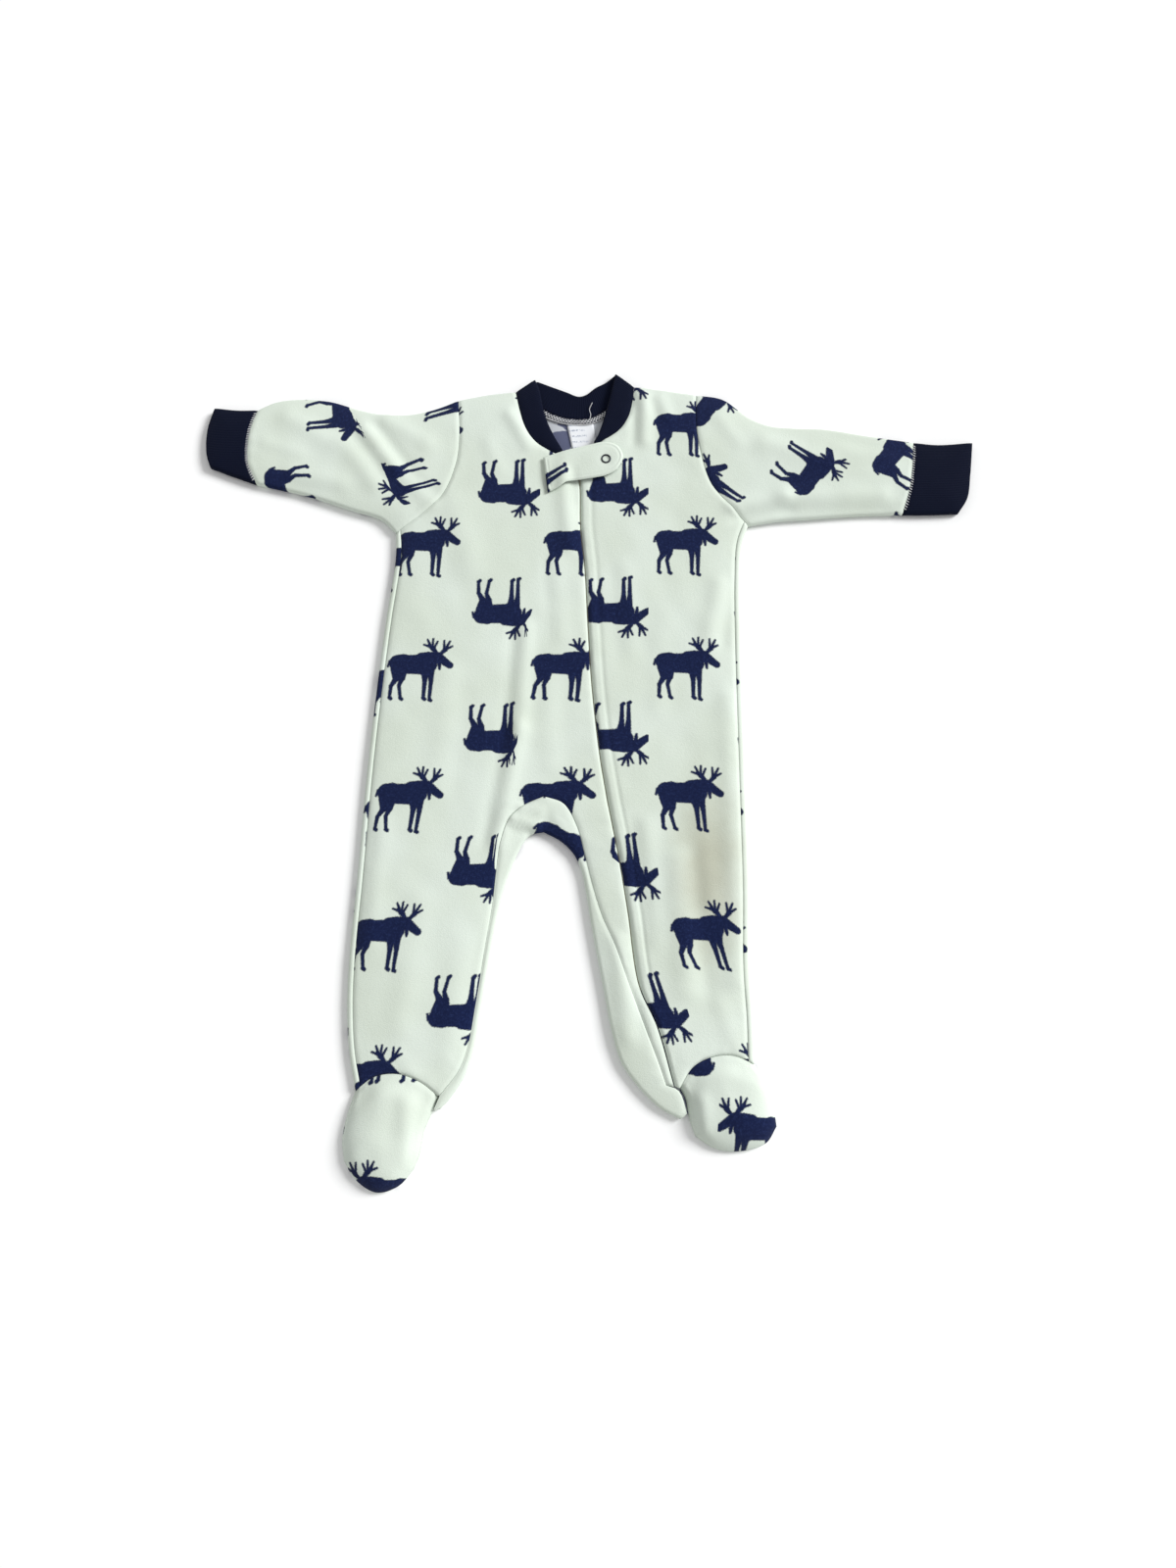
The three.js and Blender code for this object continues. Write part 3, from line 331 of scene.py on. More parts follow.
def smoothstep(value, low, high):
    share = min(max((value - low) / (high - low), 0.0), 1.0)
    return share * share * (3 - 2 * share)


# Lines in plan

def curve_place(points, knots, t):
    """The place at t on the smooth curve through four points, between the middle two."""
    for spans in (((0, 1), (1, 2), (2, 3)), ((0, 2), (1, 3)), ((1, 2),)):
        points = [
            lerp(a, b, (t - knots[i]) / (knots[j] - knots[i]))
            for a, b, (i, j) in zip(points, points[1:], spans)
        ]
    return points[0]


def edge(*rows, steps_each=None):
    """A smooth line through rows of x, y, as close points, or with equal steps in every stretch."""
    inner = [Vector((x, y, 0.0)) for x, y in rows]
    points = [2 * inner[0] - inner[1], *inner, 2 * inner[-1] - inner[-2]]
    line = []
    for stretch in zip(points, points[1:], points[2:], points[3:]):
        knots = [0.0]
        for a, b in zip(stretch, stretch[1:]):
            knots.append(knots[-1] + math.sqrt((b - a).length))
        steps = steps_each or max(2, round((stretch[2] - stretch[1]).length / LINE_STEP))
        for k in range(steps):
            line.append(curve_place(stretch, knots, lerp(knots[1], knots[2], k / steps)))
    return [*line, inner[-1]]


def lengths_along(line):
    lengths = [0.0]
    for a, b in zip(line, line[1:]):
        lengths.append(lengths[-1] + (b - a).length)
    return lengths


def shares_along(line):
    lengths = lengths_along(line)
    return [length / lengths[-1] for length in lengths]


def spread(steps, crowded=0.0):
    """Shares from 0 to 1, closer together near both ends where they are crowded."""
    return [lerp(k / steps, 0.5 - 0.5 * math.cos(math.pi * k / steps), crowded) for k in range(steps + 1)]


def along(line, steps, skip_start=0.0, skip_end=0.0, crowded=0.0):
    """Points along a line, which may skip a length at each end."""
    lengths = lengths_along(line)
    run = lengths[-1] - skip_start - skip_end
    points = []
    k = 0
    for share in spread(steps, crowded):
        distance = skip_start + run * share
        while k < len(line) - 2 and lengths[k + 1] < distance:
            k += 1
        points.append(lerp(line[k], line[k + 1], (distance - lengths[k]) / (lengths[k + 1] - lengths[k])))
    return points


def past_start(line):
    return (line[0] - line[1]).normalized()


def past_end(line):
    return (line[-1] - line[-2]).normalized()


def square_to(points, side):
    """Unit directions square to a row of points: to its left with side 1, to its right with side -1."""
    directions = []
    for k in range(len(points)):
        run = (points[min(k + 1, len(points) - 1)] - points[max(k - 1, 0)]).normalized()
        directions.append(Vector((-run.y * side, run.x * side, 0.0)))
    return directions


def moved(points, directions, distance):
    return [point + direction * distance for point, direction in zip(points, directions)]


def beside(points, side, distance):
    return moved(points, square_to(points, side), distance)


def between(top, bottom, left, right):
    """Rows of points on the surface through four edges. The top and bottom run across, the sides down."""
    top_shares, low_shares, left_shares, right_shares = map(shares_along, (top, bottom, left, right))
    rows = [top]
    for row in range(1, len(left) - 1):
        v = (left_shares[row] + right_shares[row]) / 2
        points = []
        for column, (high, low) in enumerate(zip(top, bottom)):
            u = lerp(top_shares[column], low_shares[column], v)
            corners = lerp(lerp(top[0], top[-1], u), lerp(bottom[0], bottom[-1], u), v)
            points.append(lerp(high, low, v) + lerp(left[row], right[row], u) - corners)
        rows.append(points)
    return [*rows, bottom]


def ruled(left, right, steps, crowded=0.0):
    """Rows of points on straight lines from one row of points to another."""
    return [[lerp(a, b, share) for share in spread(steps, crowded)] for a, b in zip(left, right)]


# The garment's edges, each from the neck, armhole or crotch outwards
SHOULDER_EDGE_RIGHT = edge(SHOULDER_RIGHT, (-86, 308), NECK_RIGHT)
SHOULDER_EDGE_LEFT = edge(NECK_LEFT, (64, 312), SHOULDER_LEFT)
ARMHOLE_RIGHT = edge(SHOULDER_RIGHT, (-108, 270), (-110, 244), (-120, 216), (-137, 198), UNDERARM_RIGHT)
ARMHOLE_LEFT = edge(SHOULDER_LEFT, (89, 282), (92, 255), (100, 226), (114, 207), UNDERARM_LEFT)
SLEEVE_TOP_RIGHT = edge(
    SHOULDER_RIGHT, (-129, 295), (-148, 290), (-171, 289.5), (-192, 294), (-218, 302), (-243, 304),
    (-264, 301), CUFF_RIGHT.top,
)
SLEEVE_TOP_LEFT = edge(
    SHOULDER_LEFT, (112, 304), (135, 286), (152, 279), (172, 277), (197, 276), (232, 270), CUFF_LEFT.top,
)
SLEEVE_LOW_RIGHT = edge(UNDERARM_RIGHT, (-170, 194), (-196, 203), (-234, 216), CUFF_RIGHT.low)
SLEEVE_LOW_LEFT = edge(UNDERARM_LEFT, (155, 193), (180, 195), (220, 198), CUFF_LEFT.low)
CUFF_SEAM_RIGHT = edge(CUFF_RIGHT.top, (-283, 273), (-283, 246), CUFF_RIGHT.low)
CUFF_SEAM_LEFT = edge(CUFF_LEFT.top, (268, 246), (264, 222), CUFF_LEFT.low)
CUFF_TOP_RIGHT = edge(CUFF_RIGHT.top, (-296, 294), CUFF_RIGHT.end_top)
CUFF_TOP_LEFT = edge(CUFF_LEFT.top, (290, 262), CUFF_LEFT.end_top)
CUFF_LOW_RIGHT = edge(CUFF_RIGHT.low, (-294, 233), CUFF_RIGHT.end_low)
CUFF_LOW_LEFT = edge(CUFF_LEFT.low, (280, 199), CUFF_LEFT.end_low)
CUFF_END_RIGHT = edge(CUFF_RIGHT.end_top, (-318.6, 275), (-318, 254), CUFF_RIGHT.end_low)
CUFF_END_LEFT = edge(CUFF_LEFT.end_top, (315, 234), (311, 213), CUFF_LEFT.end_low)
SIDE_RIGHT = edge(
    UNDERARM_RIGHT, (-157.5, 160), (-163, 108), (-168, 52), (-173, -20), (-177, -103), (-180, -161),
    (-180, -196), (-177, -230), ANKLE_RIGHT.outer,
)
SIDE_LEFT = edge(
    UNDERARM_LEFT, (124.5, 172), (122, 140), (121, 90), (121, -10), (121, -110), (119.5, -170),
    (121, -206), ANKLE_LEFT.outer,
)
INNER_EDGE_RIGHT = edge(*[row[:2] for row in INNER_RIGHT], steps_each=LEG_ROWS_EACH)
INNER_EDGE_LEFT = edge(*[row[:2] for row in INNER_LEFT], steps_each=LEG_ROWS_EACH)
ARCH_RIGHT = edge(*[row[2:] for row in INNER_RIGHT], steps_each=LEG_ROWS_EACH)
ARCH_LEFT = edge(*[row[2:] for row in INNER_LEFT], steps_each=LEG_ROWS_EACH)
NECK_EDGE_RIGHT = edge(NECK_RIGHT, (-58, 292), (-53, 276), (-45, 264), (-33, 255), (-22, 249), ZIP_TOP)
NECK_EDGE_LEFT = edge(NECK_LEFT, (36, 300), (32, 285), (24, 273), (10, 263), (-1, 252), ZIP_TOP)
NECK_BACK = edge(
    NECK_RIGHT, (-50, 303), (-39, 296), (-24, 289), (-11, 287), (1, 288), (16, 297), (27, 306), NECK_LEFT,
)
BAND_RIGHT = edge(PEAK_RIGHT, (-42, 312), (-39, 296), (-35.5, 283), (-31, 272), (-22, 255))
BAND_LEFT = edge(PEAK_LEFT, (19, 313), (15.5, 297), (11, 280), (7, 268), (4, 263))
BAND_BACK = edge(PEAK_RIGHT, (-34, 318), (-19, 312), (-9, 308), (-2, 310), (5, 316), (14, 321), PEAK_LEFT)
ZIP = edge(ZIP_TOP, (-7.5, 221), (-7, 186), (-3.5, 150), (-1, 101), (2, 52), (8, -4.5), (14, -42))
ZIP_LEG = edge((14, -42), (23, -89), (29, -127), (37, -182), (50, -212), (62, -255))
ANKLE_EDGE_RIGHT = edge(ANKLE_RIGHT.outer, (-157, -248), (-140, -246), (-123, -252), ANKLE_RIGHT.inner)
ANKLE_EDGE_LEFT = edge(ANKLE_LEFT.outer, (105, -233), (90, -234), (76, -241), ANKLE_LEFT.inner)

# The feet, seen from above. Beside the inner side the back shows as a wedge, with a folded edge, a seam on
# top and the same seam's line on the floor.
Foot = namedtuple("Foot", "ankle outer toe inner wedge_edge wedge_seam wedge_floor")
FOOT_RIGHT = Foot(
    ankle=ANKLE_EDGE_RIGHT,
    outer=edge(ANKLE_RIGHT.outer, (-176, -274), (-179, -292), (-177, -307)),
    toe=edge((-177, -307), (-169, -319), (-153, -328.5), (-137, -324), (-127, -313)),
    inner=edge(ANKLE_RIGHT.inner, (-115, -274), (-120, -286), (-123, -303), (-127, -313)),
    wedge_edge=edge(INNER_RIGHT[-1][:2], (-103, -265), (-109, -271)),
    wedge_seam=edge(INNER_RIGHT[-1][2:], (-111, -266), (-113.3, -271.5)),
    wedge_floor=edge(ANKLE_RIGHT.inner, (-112.3, -267), (-114, -271.5)),
)
FOOT_LEFT = Foot(
    ankle=ANKLE_EDGE_LEFT,
    outer=edge(ANKLE_LEFT.outer, (128, -248), (134, -268), (136, -283)),
    toe=edge((136, -283), (128, -294.5), (110, -300), (91, -298.5), (77, -290)),
    inner=edge(ANKLE_LEFT.inner, (70, -263), (72.5, -277), (77, -290)),
    wedge_edge=edge(INNER_LEFT[-1][:2], (51, -270), (66, -278)),
    wedge_seam=edge(INNER_LEFT[-1][2:], (65, -257.8), (71, -274)),
    wedge_floor=edge(ANKLE_LEFT.inner, (70, -263), (72, -274)),
)


# Heights of the cloth

def tree_of(lines):
    points = [point for line in lines for point in line]
    tree = kdtree.KDTree(len(points))
    for k, point in enumerate(points):
        tree.insert(point, k)
    tree.balance()
    return tree


def reach_to(tree, x, y):
    """The shortest way in plan from a place to the tree's lines."""
    return tree.find((x, y, 0.0))[2]


OUTLINE = tree_of([
    SHOULDER_EDGE_RIGHT, SHOULDER_EDGE_LEFT, SLEEVE_TOP_RIGHT, SLEEVE_TOP_LEFT, SLEEVE_LOW_RIGHT,
    SLEEVE_LOW_LEFT, CUFF_TOP_RIGHT, CUFF_TOP_LEFT, CUFF_LOW_RIGHT, CUFF_LOW_LEFT, CUFF_END_RIGHT,
    CUFF_END_LEFT, SIDE_RIGHT, SIDE_LEFT, along(INNER_EDGE_RIGHT, 300), along(INNER_EDGE_LEFT, 300),
    FOOT_RIGHT.wedge_edge, FOOT_LEFT.wedge_edge, along(edge(NECK_RIGHT, PEAK_RIGHT), 20),
    along(edge(NECK_LEFT, PEAK_LEFT), 20),
])
SEAMS = tree_of([
    ARMHOLE_RIGHT, ARMHOLE_LEFT, CUFF_SEAM_RIGHT, CUFF_SEAM_LEFT, beside(SIDE_RIGHT, 1, SIDE_WRAP),
    beside(SIDE_LEFT, -1, SIDE_WRAP), along(ARCH_RIGHT, 300), along(ARCH_LEFT, 300), NECK_EDGE_RIGHT,
    NECK_EDGE_LEFT, BAND_RIGHT, BAND_LEFT, ANKLE_EDGE_RIGHT, ANKLE_EDGE_LEFT, FOOT_RIGHT.wedge_seam,
    FOOT_LEFT.wedge_seam, ZIP, ZIP_LEG,
])
WELT_LINE = tree_of([beside(ZIP, 1, WELT), beside(ZIP_LEG, 1, WELT)[:WELT_POINTS]])

Crease = namedtuple("Crease", "start run length width rise trough")
Tuck = namedtuple("Tuck", "start run length swallowed")


def run_of(from_x, from_y, to_x, to_y):
    way = Vector((to_x - from_x, to_y - from_y, 0.0))
    return Vector((from_x, from_y, 0.0)), way.normalized(), way.length


CREASE_LINES = [Crease(*run_of(*row[:4]), *row[4:]) for row in CREASES]
TUCK_LINES = [Tuck(*run_of(*row[:4]), Vector(row[4:])) for row in TUCKS]


def beside_crease(crease, place):
    """How far a place lies to the left of a crease's or tuck's run, and how far past its nearer end."""
    offset = place - crease.start
    ahead = offset.dot(crease.run)
    aside = crease.run.x * offset.y - crease.run.y * offset.x
    return aside, max(-ahead, ahead - crease.length, 0.0)


def crease_rise(place):
    rise = 0.0
    for crease in CREASE_LINES:
        aside, past = beside_crease(crease, place)
        if max(abs(aside), past) < 3 * crease.width:
            beyond = (aside - 1.5 * crease.trough * crease.width) / (0.7 * crease.width)
            trough = 0.5 * abs(crease.trough) * math.exp(-beyond ** 2)
            ridge = math.exp(-(aside / crease.width) ** 2)
            rise += crease.rise * (ridge - trough) * math.exp(-(past / crease.width) ** 2)
    return rise


def smooth_top(x, y):
    """Height of the upper layer without its seams and small waves."""
    swell = CROWN * (1 - math.exp(-reach_to(OUTLINE, x, y) / CROWN_RUN))
    return EDGE_HEIGHT + swell + crease_rise(Vector((x, y, 0.0)))


def top_of(x, y):
    """Height of the garment's upper surface."""
    place = Vector((x, y, 0.0))
    calm = 1 - math.exp(-reach_to(OUTLINE, x, y) / 10)
    seam = reach_to(SEAMS, x, y)
    waves = calm * (0.7 * noise.noise(place / 48) + 0.35 * noise.noise(place / 17))
    puckers = 0.5 * calm * math.exp(-seam / 6) * noise.noise(place / 6)
    dip = SEAM_DIP * math.exp(-(seam / SEAM_RUN) ** 2)
    welt = 0.7 * math.exp(-(reach_to(WELT_LINE, x, y) / 1.3) ** 2)
    return max(smooth_top(x, y) + waves + puckers - dip - welt, LOWEST_TOP)


# Spots of cloth: where each lies, and where it was on the flat cloth

Spot = namedtuple("Spot", "place flat")


def upper(point):
    return Spot(Vector((point.x, point.y, top_of(point.x, point.y))), point.xy)


def lower(point):
    return Spot(Vector((point.x, point.y, 0.0)), point.xy)


def bend(point, out, low_out=None):
    """The folded edge at one outline point, from the upper layer round to the lower one."""
    inset = point - BEND * out
    half = top_of(inset.x, inset.y) / 2
    spots = []
    for angle in BEND_ANGLES:
        direction = out if angle >= 0 or low_out is None else low_out
        place = point + direction * BEND * (math.cos(angle) - 1)
        place.z = half + half * math.sin(angle)
        flat = inset + out * half * (math.pi / 2 - angle)
        spots.append(Spot(place, flat.xy))
    return spots


def folded(points, side, start_out=None, end_out=None):
    """Places and outward directions along a folded edge, which may turn to another way near its ends."""
    lengths = lengths_along(points)
    ways = []
    for length, way in zip(lengths, square_to(points, side)):
        if start_out:
            way = lerp(way, start_out, smoothstep(length, FAN, 0))
        if end_out:
            way = lerp(way, end_out, smoothstep(lengths[-1] - length, FAN, 0))
        ways.append(way.normalized())
    return points, ways


def inside_of(edge_places, distance):
    points, out = edge_places
    return moved(points, out, -distance)


def bends(edge_places):
    return [bend(point, out) for point, out in zip(*edge_places)]


def laid(rows, layer):
    return [[layer(point) for point in row] for row in rows]


# Meshes

def drift_at(rows, y):
    for (high, high_drift), (low, low_drift) in zip(rows, rows[1:]):
        if low <= y <= high:
            return lerp(low_drift, high_drift, (y - low) / (high - low))
    return 0.0


def to_print(flat, cut):
    """Where a spot of flat cloth lies on the printed pattern, in metres."""
    place = flat.to_3d()
    swallowed = Vector((0.0, 0.0))
    for tuck in TUCK_LINES:
        aside, past = beside_crease(tuck, place)
        if aside > -3:
            near = math.exp(-(aside / 60) ** 2 - (past / 20) ** 2)
            swallowed += tuck.swallowed * smoothstep(aside, -2, 2) * near
    middle = Vector((0.5 * CELL_WIDTH, 0.5 * CELL_HEIGHT))
    if not cut.upright:
        middle += Vector((CELL_WIDTH, -HALF_DROP))
    offset = flat + swallowed - Vector((cut.x + drift_at(cut.drift, flat.y), cut.y))
    return (Matrix.Rotation(-math.radians(cut.turn), 2) @ offset + middle) * MM


def lay_print(shell, verts, flats, cut):
    prints = {vert: to_print(flat, cut) for vert, flat in zip(verts, flats)}
    layer = shell.loops.layers.uv["cut"]
    for face in {face for vert in verts for face in vert.link_faces}:
        for loop in face.loops:
            loop[layer].uv = prints[loop.vert]


def lay_grid(shell, rows, cut):
    """A grid whose points are moved to rows of spots."""
    across = len(rows[0]) - 1
    down = len(rows) - 1
    verts = bmesh.ops.create_grid(shell, x_segments=across, y_segments=down, size=0.5)["verts"]
    spots = [rows[round((0.5 - vert.co.y) * down)][round((vert.co.x + 0.5) * across)] for vert in verts]
    for vert, spot in zip(verts, spots):
        vert.co = spot.place
    soften(verts)
    lay_print(shell, verts, [spot.flat for spot in spots], cut)


def soften(verts):
    """Smooth shading on the faces round these points."""
    for face in {face for vert in verts for face in vert.link_faces}:
        face.smooth = True


def lay_level(shell, contour, cut):
    """A level area inside a row of spots."""
    verts = bmesh.ops.create_circle(shell, cap_ends=True, segments=len(contour), radius=1)["verts"]
    for vert, spot in zip(verts, contour):
        vert.co = spot.place
    lay_print(shell, verts, [spot.flat for spot in contour], cut)
    bmesh.ops.triangulate(shell, faces=list(verts[0].link_faces))


def new_shell():
    shell = bmesh.new()
    shell.loops.layers.uv.new("cut")
    return shell


def look_out(shell):
    """Turn the faces of an open shell outwards: up on the upper layer and down on the floor."""
    bmesh.ops.recalc_face_normals(shell, faces=shell.faces)
    shell.normal_update()
    floor = 1.5
    vote = sum(
        face.calc_area() * face.normal.z * (1 if face.calc_center_median().z > floor else -1)
        for face in shell.faces
    )
    if vote < 0:
        bmesh.ops.reverse_faces(shell, faces=shell.faces)


def finished(name, shell, materials, nodes=()):
    """The piece as an object in metres, riding on the garment."""
    bmesh.ops.scale(shell, vec=(MM, MM, MM), verts=shell.verts)
    mesh = bpy.data.meshes.new(name)
    shell.to_mesh(mesh)
    shell.free()
    for material in materials:
        mesh.materials.append(material)
    piece = bpy.data.objects.new(name, mesh)
    bpy.context.collection.objects.link(piece)
    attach(piece, "root")
    if nodes:
        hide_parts(*nodes)
    return piece


def sewn(name, shell, cloth, thickness, with_pieces=()):
    """A piece of cloth with its thickness: its shell is the outer face, and the wall grows inwards."""
    bmesh.ops.remove_doubles(shell, verts=shell.verts, dist=WELD)
    look_out(shell)
    piece = finished(f"{name}_cloth", shell, cloth.materials, (name,))
    add_wall(piece, cloth, thickness)
    return piece


def add_wall(piece, cloth, thickness):
    wall = piece.modifiers.new("wall", "SOLIDIFY")
    wall.thickness = thickness * MM
    wall.offset = -1
    wall.use_even_offset = False
    wall.material_offset = len(cloth.materials) - 1


# Materials

class Nodes:
    """A material's node tree, with short ways to add to it."""

    def __init__(self, name):
        self.material = bpy.data.materials.new(name)
        self.material.use_nodes = True
        self.tree = self.material.node_tree
        self.shader = self.tree.nodes["Principled BSDF"]

    def feed(self, socket, value):
        if isinstance(value, bpy.types.NodeSocket):
            self.tree.links.new(value, socket)
        else:
            socket.default_value = value

    def add(self, kind, *values, output=0, **settings):
        node = self.tree.nodes.new("ShaderNode" + kind)
        for key, value in settings.items():
            setattr(node, key, value)
        for socket, value in zip(node.inputs, values):
            if value is not None:
                self.feed(socket, value)
        return node.outputs[output]

    def math(self, operation, *values, clamp=False):
        return self.add("Math", *values, operation=operation, use_clamp=clamp)

    def vector(self, operation, *values):
        output = 1 if operation in ("DOT_PRODUCT", "LENGTH", "DISTANCE") else 0
        return self.add("VectorMath", *values, operation=operation, output=output)

    def scaled(self, vector, scale):
        node = self.tree.nodes.new("ShaderNodeVectorMath")
        node.operation = "SCALE"
        self.feed(node.inputs["Vector"], vector)
        self.feed(node.inputs["Scale"], scale)
        return node.outputs[0]

    def cloth_place(self):
        """A place on the flat cloth, in millimetres."""
        return self.scaled(self.add("UVMap", uv_map="cut"), 1 / MM)

    def noise(self, place, scale, detail=2.0, roughness=0.5):
        node = self.tree.nodes.new("ShaderNodeTexNoise")
        self.feed(node.inputs["Vector"], place)
        node.inputs["Scale"].default_value = scale
        node.inputs["Detail"].default_value = detail
        node.inputs["Roughness"].default_value = roughness
        return node.outputs["Fac"]

    def ramp(self, value, low, high, smooth=True):
        """From 0 at low to 1 at high."""
        kind = "SMOOTHSTEP" if smooth else "LINEAR"
        return self.add("MapRange", value, low, high, 0.0, 1.0, interpolation_type=kind)

    def mix(self, share, first, second):
        node = self.tree.nodes.new("ShaderNodeMix")
        node.data_type = "RGBA"
        for socket, value in zip((node.inputs[0], node.inputs[6], node.inputs[7]), (share, first, second)):
            self.feed(socket, value)
        return node.outputs[2]

    def bump(self, height, distance, strength=1.0, normal=None):
        node = self.tree.nodes.new("ShaderNodeBump")
        node.inputs["Strength"].default_value = strength
        node.inputs["Distance"].default_value = distance * MM
        self.feed(node.inputs["Height"], height)
        if normal:
            self.feed(node.inputs["Normal"], normal)
        return node.outputs["Normal"]

    def finish(self, **inputs):
        for name, value in inputs.items():
            self.feed(self.shader.inputs[name.replace("_", " ")], value)
        return self.material


def colour(red, green, blue):
    """A screen colour from 0 to 255 as the renderer's own values."""
    levels = [level / 255 for level in (red, green, blue)]
    return (*[((level + 0.055) / 1.055) ** 2.4 if level > 0.04 else level / 12.92 for level in levels], 1.0)


CREAM = colour(217, 227, 217)
CREAM_SHADE = colour(211, 221, 208)
# Colour of a darker, warmer patch down the left leg
WARM_DARK_PATCH = colour(178, 178, 158)
PRINT_NAVY = colour(13, 24, 60)
PRINT_FIBRE = colour(38, 52, 96)
RIB_NAVY = colour(5, 12, 34)
RIB_LIGHT = colour(18, 27, 56)
INSIDE_GREY = colour(196, 200, 206)
INSIDE_NAVY = colour(52, 60, 102)


def cell_place(nodes, cloth_place):
    """Where a place on the cloth lies in its cell of the print, in millimetres, and if it is printed."""
    place = nodes.tree.nodes.new("ShaderNodeSeparateXYZ")
    nodes.feed(place.inputs[0], cloth_place)
    column = nodes.math("FLOOR", nodes.math("DIVIDE", place.outputs[0], CELL_WIDTH))
    odd = nodes.math("FLOORED_MODULO", column, 2.0)
    across = nodes.math("FLOORED_MODULO", place.outputs[0], CELL_WIDTH)
    from_middle = nodes.math("SUBTRACT", across, CELL_WIDTH / 2)
    x = nodes.math("MULTIPLY_ADD", odd, -ODD_SHIFT, from_middle)
    dropped = nodes.math("MULTIPLY_ADD", odd, HALF_DROP, place.outputs[1])
    y = nodes.math("SUBTRACT", nodes.math("FLOORED_MODULO", dropped, CELL_HEIGHT), CELL_HEIGHT / 2)
    way_up = nodes.math("MULTIPLY_ADD", odd, -2.0, 1.0)
    printed = nodes.math("LESS_THAN", place.outputs[0], BARE_FROM)
    return nodes.add("CombineXYZ", x, nodes.math("MULTIPLY", y, way_up), 0.0), printed


def moose_distance(nodes, place):
    """How far a place is outside the moose's outline, in millimetres."""
    nearest = 100.0
    for from_x, from_y, from_radius, to_x, to_y, to_radius in MOOSE:
        limb = Vector((to_x - from_x, to_y - from_y, 0.0))
        offset = nodes.vector("SUBTRACT", place, (from_x, from_y, 0.0))
        run = nodes.vector("DOT_PRODUCT", offset, limb / limb.length_squared)
        share = nodes.math("ADD", run, 0.0, clamp=True)
        away = nodes.vector("LENGTH", nodes.vector("SUBTRACT", offset, nodes.scaled(limb, share)))
        thinner = nodes.math("MULTIPLY_ADD", share, from_radius - to_radius, away)
        nearest = nodes.math("SMOOTH_MIN", nodes.math("SUBTRACT", thinner, from_radius), nearest, 0.7)
    return nearest


def fleece_material(name, outside=True):
    """Brushed fleece with its print: soft-edged on the outside, faint on the inside."""
    nodes = Nodes(name)
    cloth_place = nodes.cloth_place()
    place = nodes.add("TexCoord", output=3)
    fibres = nodes.noise(cloth_place, 1.5, 3.0)
    clumps = nodes.noise(cloth_place, 0.42, 3.0, 0.6)
    clouds = nodes.noise(place, 16.0, 2.0)
    in_cell, has_print = cell_place(nodes, cloth_place)
    outline = moose_distance(nodes, in_cell)
    fuzz = nodes.math("MULTIPLY_ADD", nodes.math("SUBTRACT", fibres, 0.5), 2.2, outline)
    printed = nodes.math("MULTIPLY", has_print, nodes.ramp(fuzz, 0.75, -0.3))

    specks = nodes.ramp(nodes.math("ADD", fibres, nodes.math("MULTIPLY", clumps, 0.6)), 0.78, 1.08)
    ground = nodes.mix(nodes.ramp(clouds, 0.3, 0.7), CREAM, CREAM_SHADE)
    if outside:
        # The cream turns darker and warmer over a patch down the left leg
        patched = nodes.mix(dark_patch(nodes, place), ground, WARM_DARK_PATCH)
        ink = nodes.mix(specks, PRINT_NAVY, PRINT_FIBRE)
        base = nodes.mix(printed, patched, ink)
    else:
        base = nodes.mix(nodes.math("MULTIPLY", printed, 0.85), INSIDE_GREY, INSIDE_NAVY)
    nap = nodes.math("MULTIPLY_ADD", clumps, 0.7, fibres)
    return nodes.finish(
        Base_Color=base, Roughness=0.95, Sheen_Weight=0.05, Sheen_Roughness=0.6, Specular_IOR_Level=0.1,
        Normal=nodes.bump(nap, 0.5, 0.5),
    )


# A darker, warmer patch of the cream down the left leg: its middle and its half sizes
DARK_PATCH_PLACE = (90, -92)
DARK_PATCH_REACH = (32, 88)


# How strongly the darker, warmer patch down the left leg covers a place, up to 0.75
def dark_patch(nodes, place):
    offset = nodes.vector("SUBTRACT", place, (DARK_PATCH_PLACE[0] * MM, DARK_PATCH_PLACE[1] * MM, 0.0))
    share = nodes.vector("MULTIPLY", offset, (1 / (DARK_PATCH_REACH[0] * MM), 1 / (DARK_PATCH_REACH[1] * MM), 0.0))
    ragged = nodes.math("MULTIPLY_ADD", nodes.noise(place, 30.0, 3.0), 0.8, nodes.vector("LENGTH", share))
    return nodes.math("MULTIPLY", nodes.math("SUBTRACT", 1.0, nodes.ramp(ragged, 0.5, 1.55)), 0.75)


def rib_material():
    """Navy rib knit, whose fine ribs run square to the first coordinate of the flat cloth."""
    nodes = Nodes("rib_knit")
    cloth_place = nodes.cloth_place()
    across = nodes.add("SeparateXYZ", cloth_place)
    wander = nodes.math("MULTIPLY_ADD", nodes.noise(cloth_place, 0.25), 0.5, across)
    rib = nodes.math("SINE", nodes.math("MULTIPLY", wander, 2 * math.pi / 1.5))
    fibres = nodes.noise(cloth_place, 2.2, 3.0)
    lint = nodes.ramp(nodes.noise(cloth_place, 0.7, 4.0, 0.7), 0.55, 0.8)
    height = nodes.math("MULTIPLY_ADD", fibres, 1.2, nodes.math("MULTIPLY", rib, 0.5))
    return nodes.finish(
        Base_Color=nodes.mix(nodes.math("MULTIPLY", lint, 0.5), RIB_NAVY, RIB_LIGHT), Roughness=0.9,
        Sheen_Weight=0.02, Sheen_Roughness=0.5, Specular_IOR_Level=0.12,
        Normal=nodes.bump(height, 0.25, 0.7),
    )


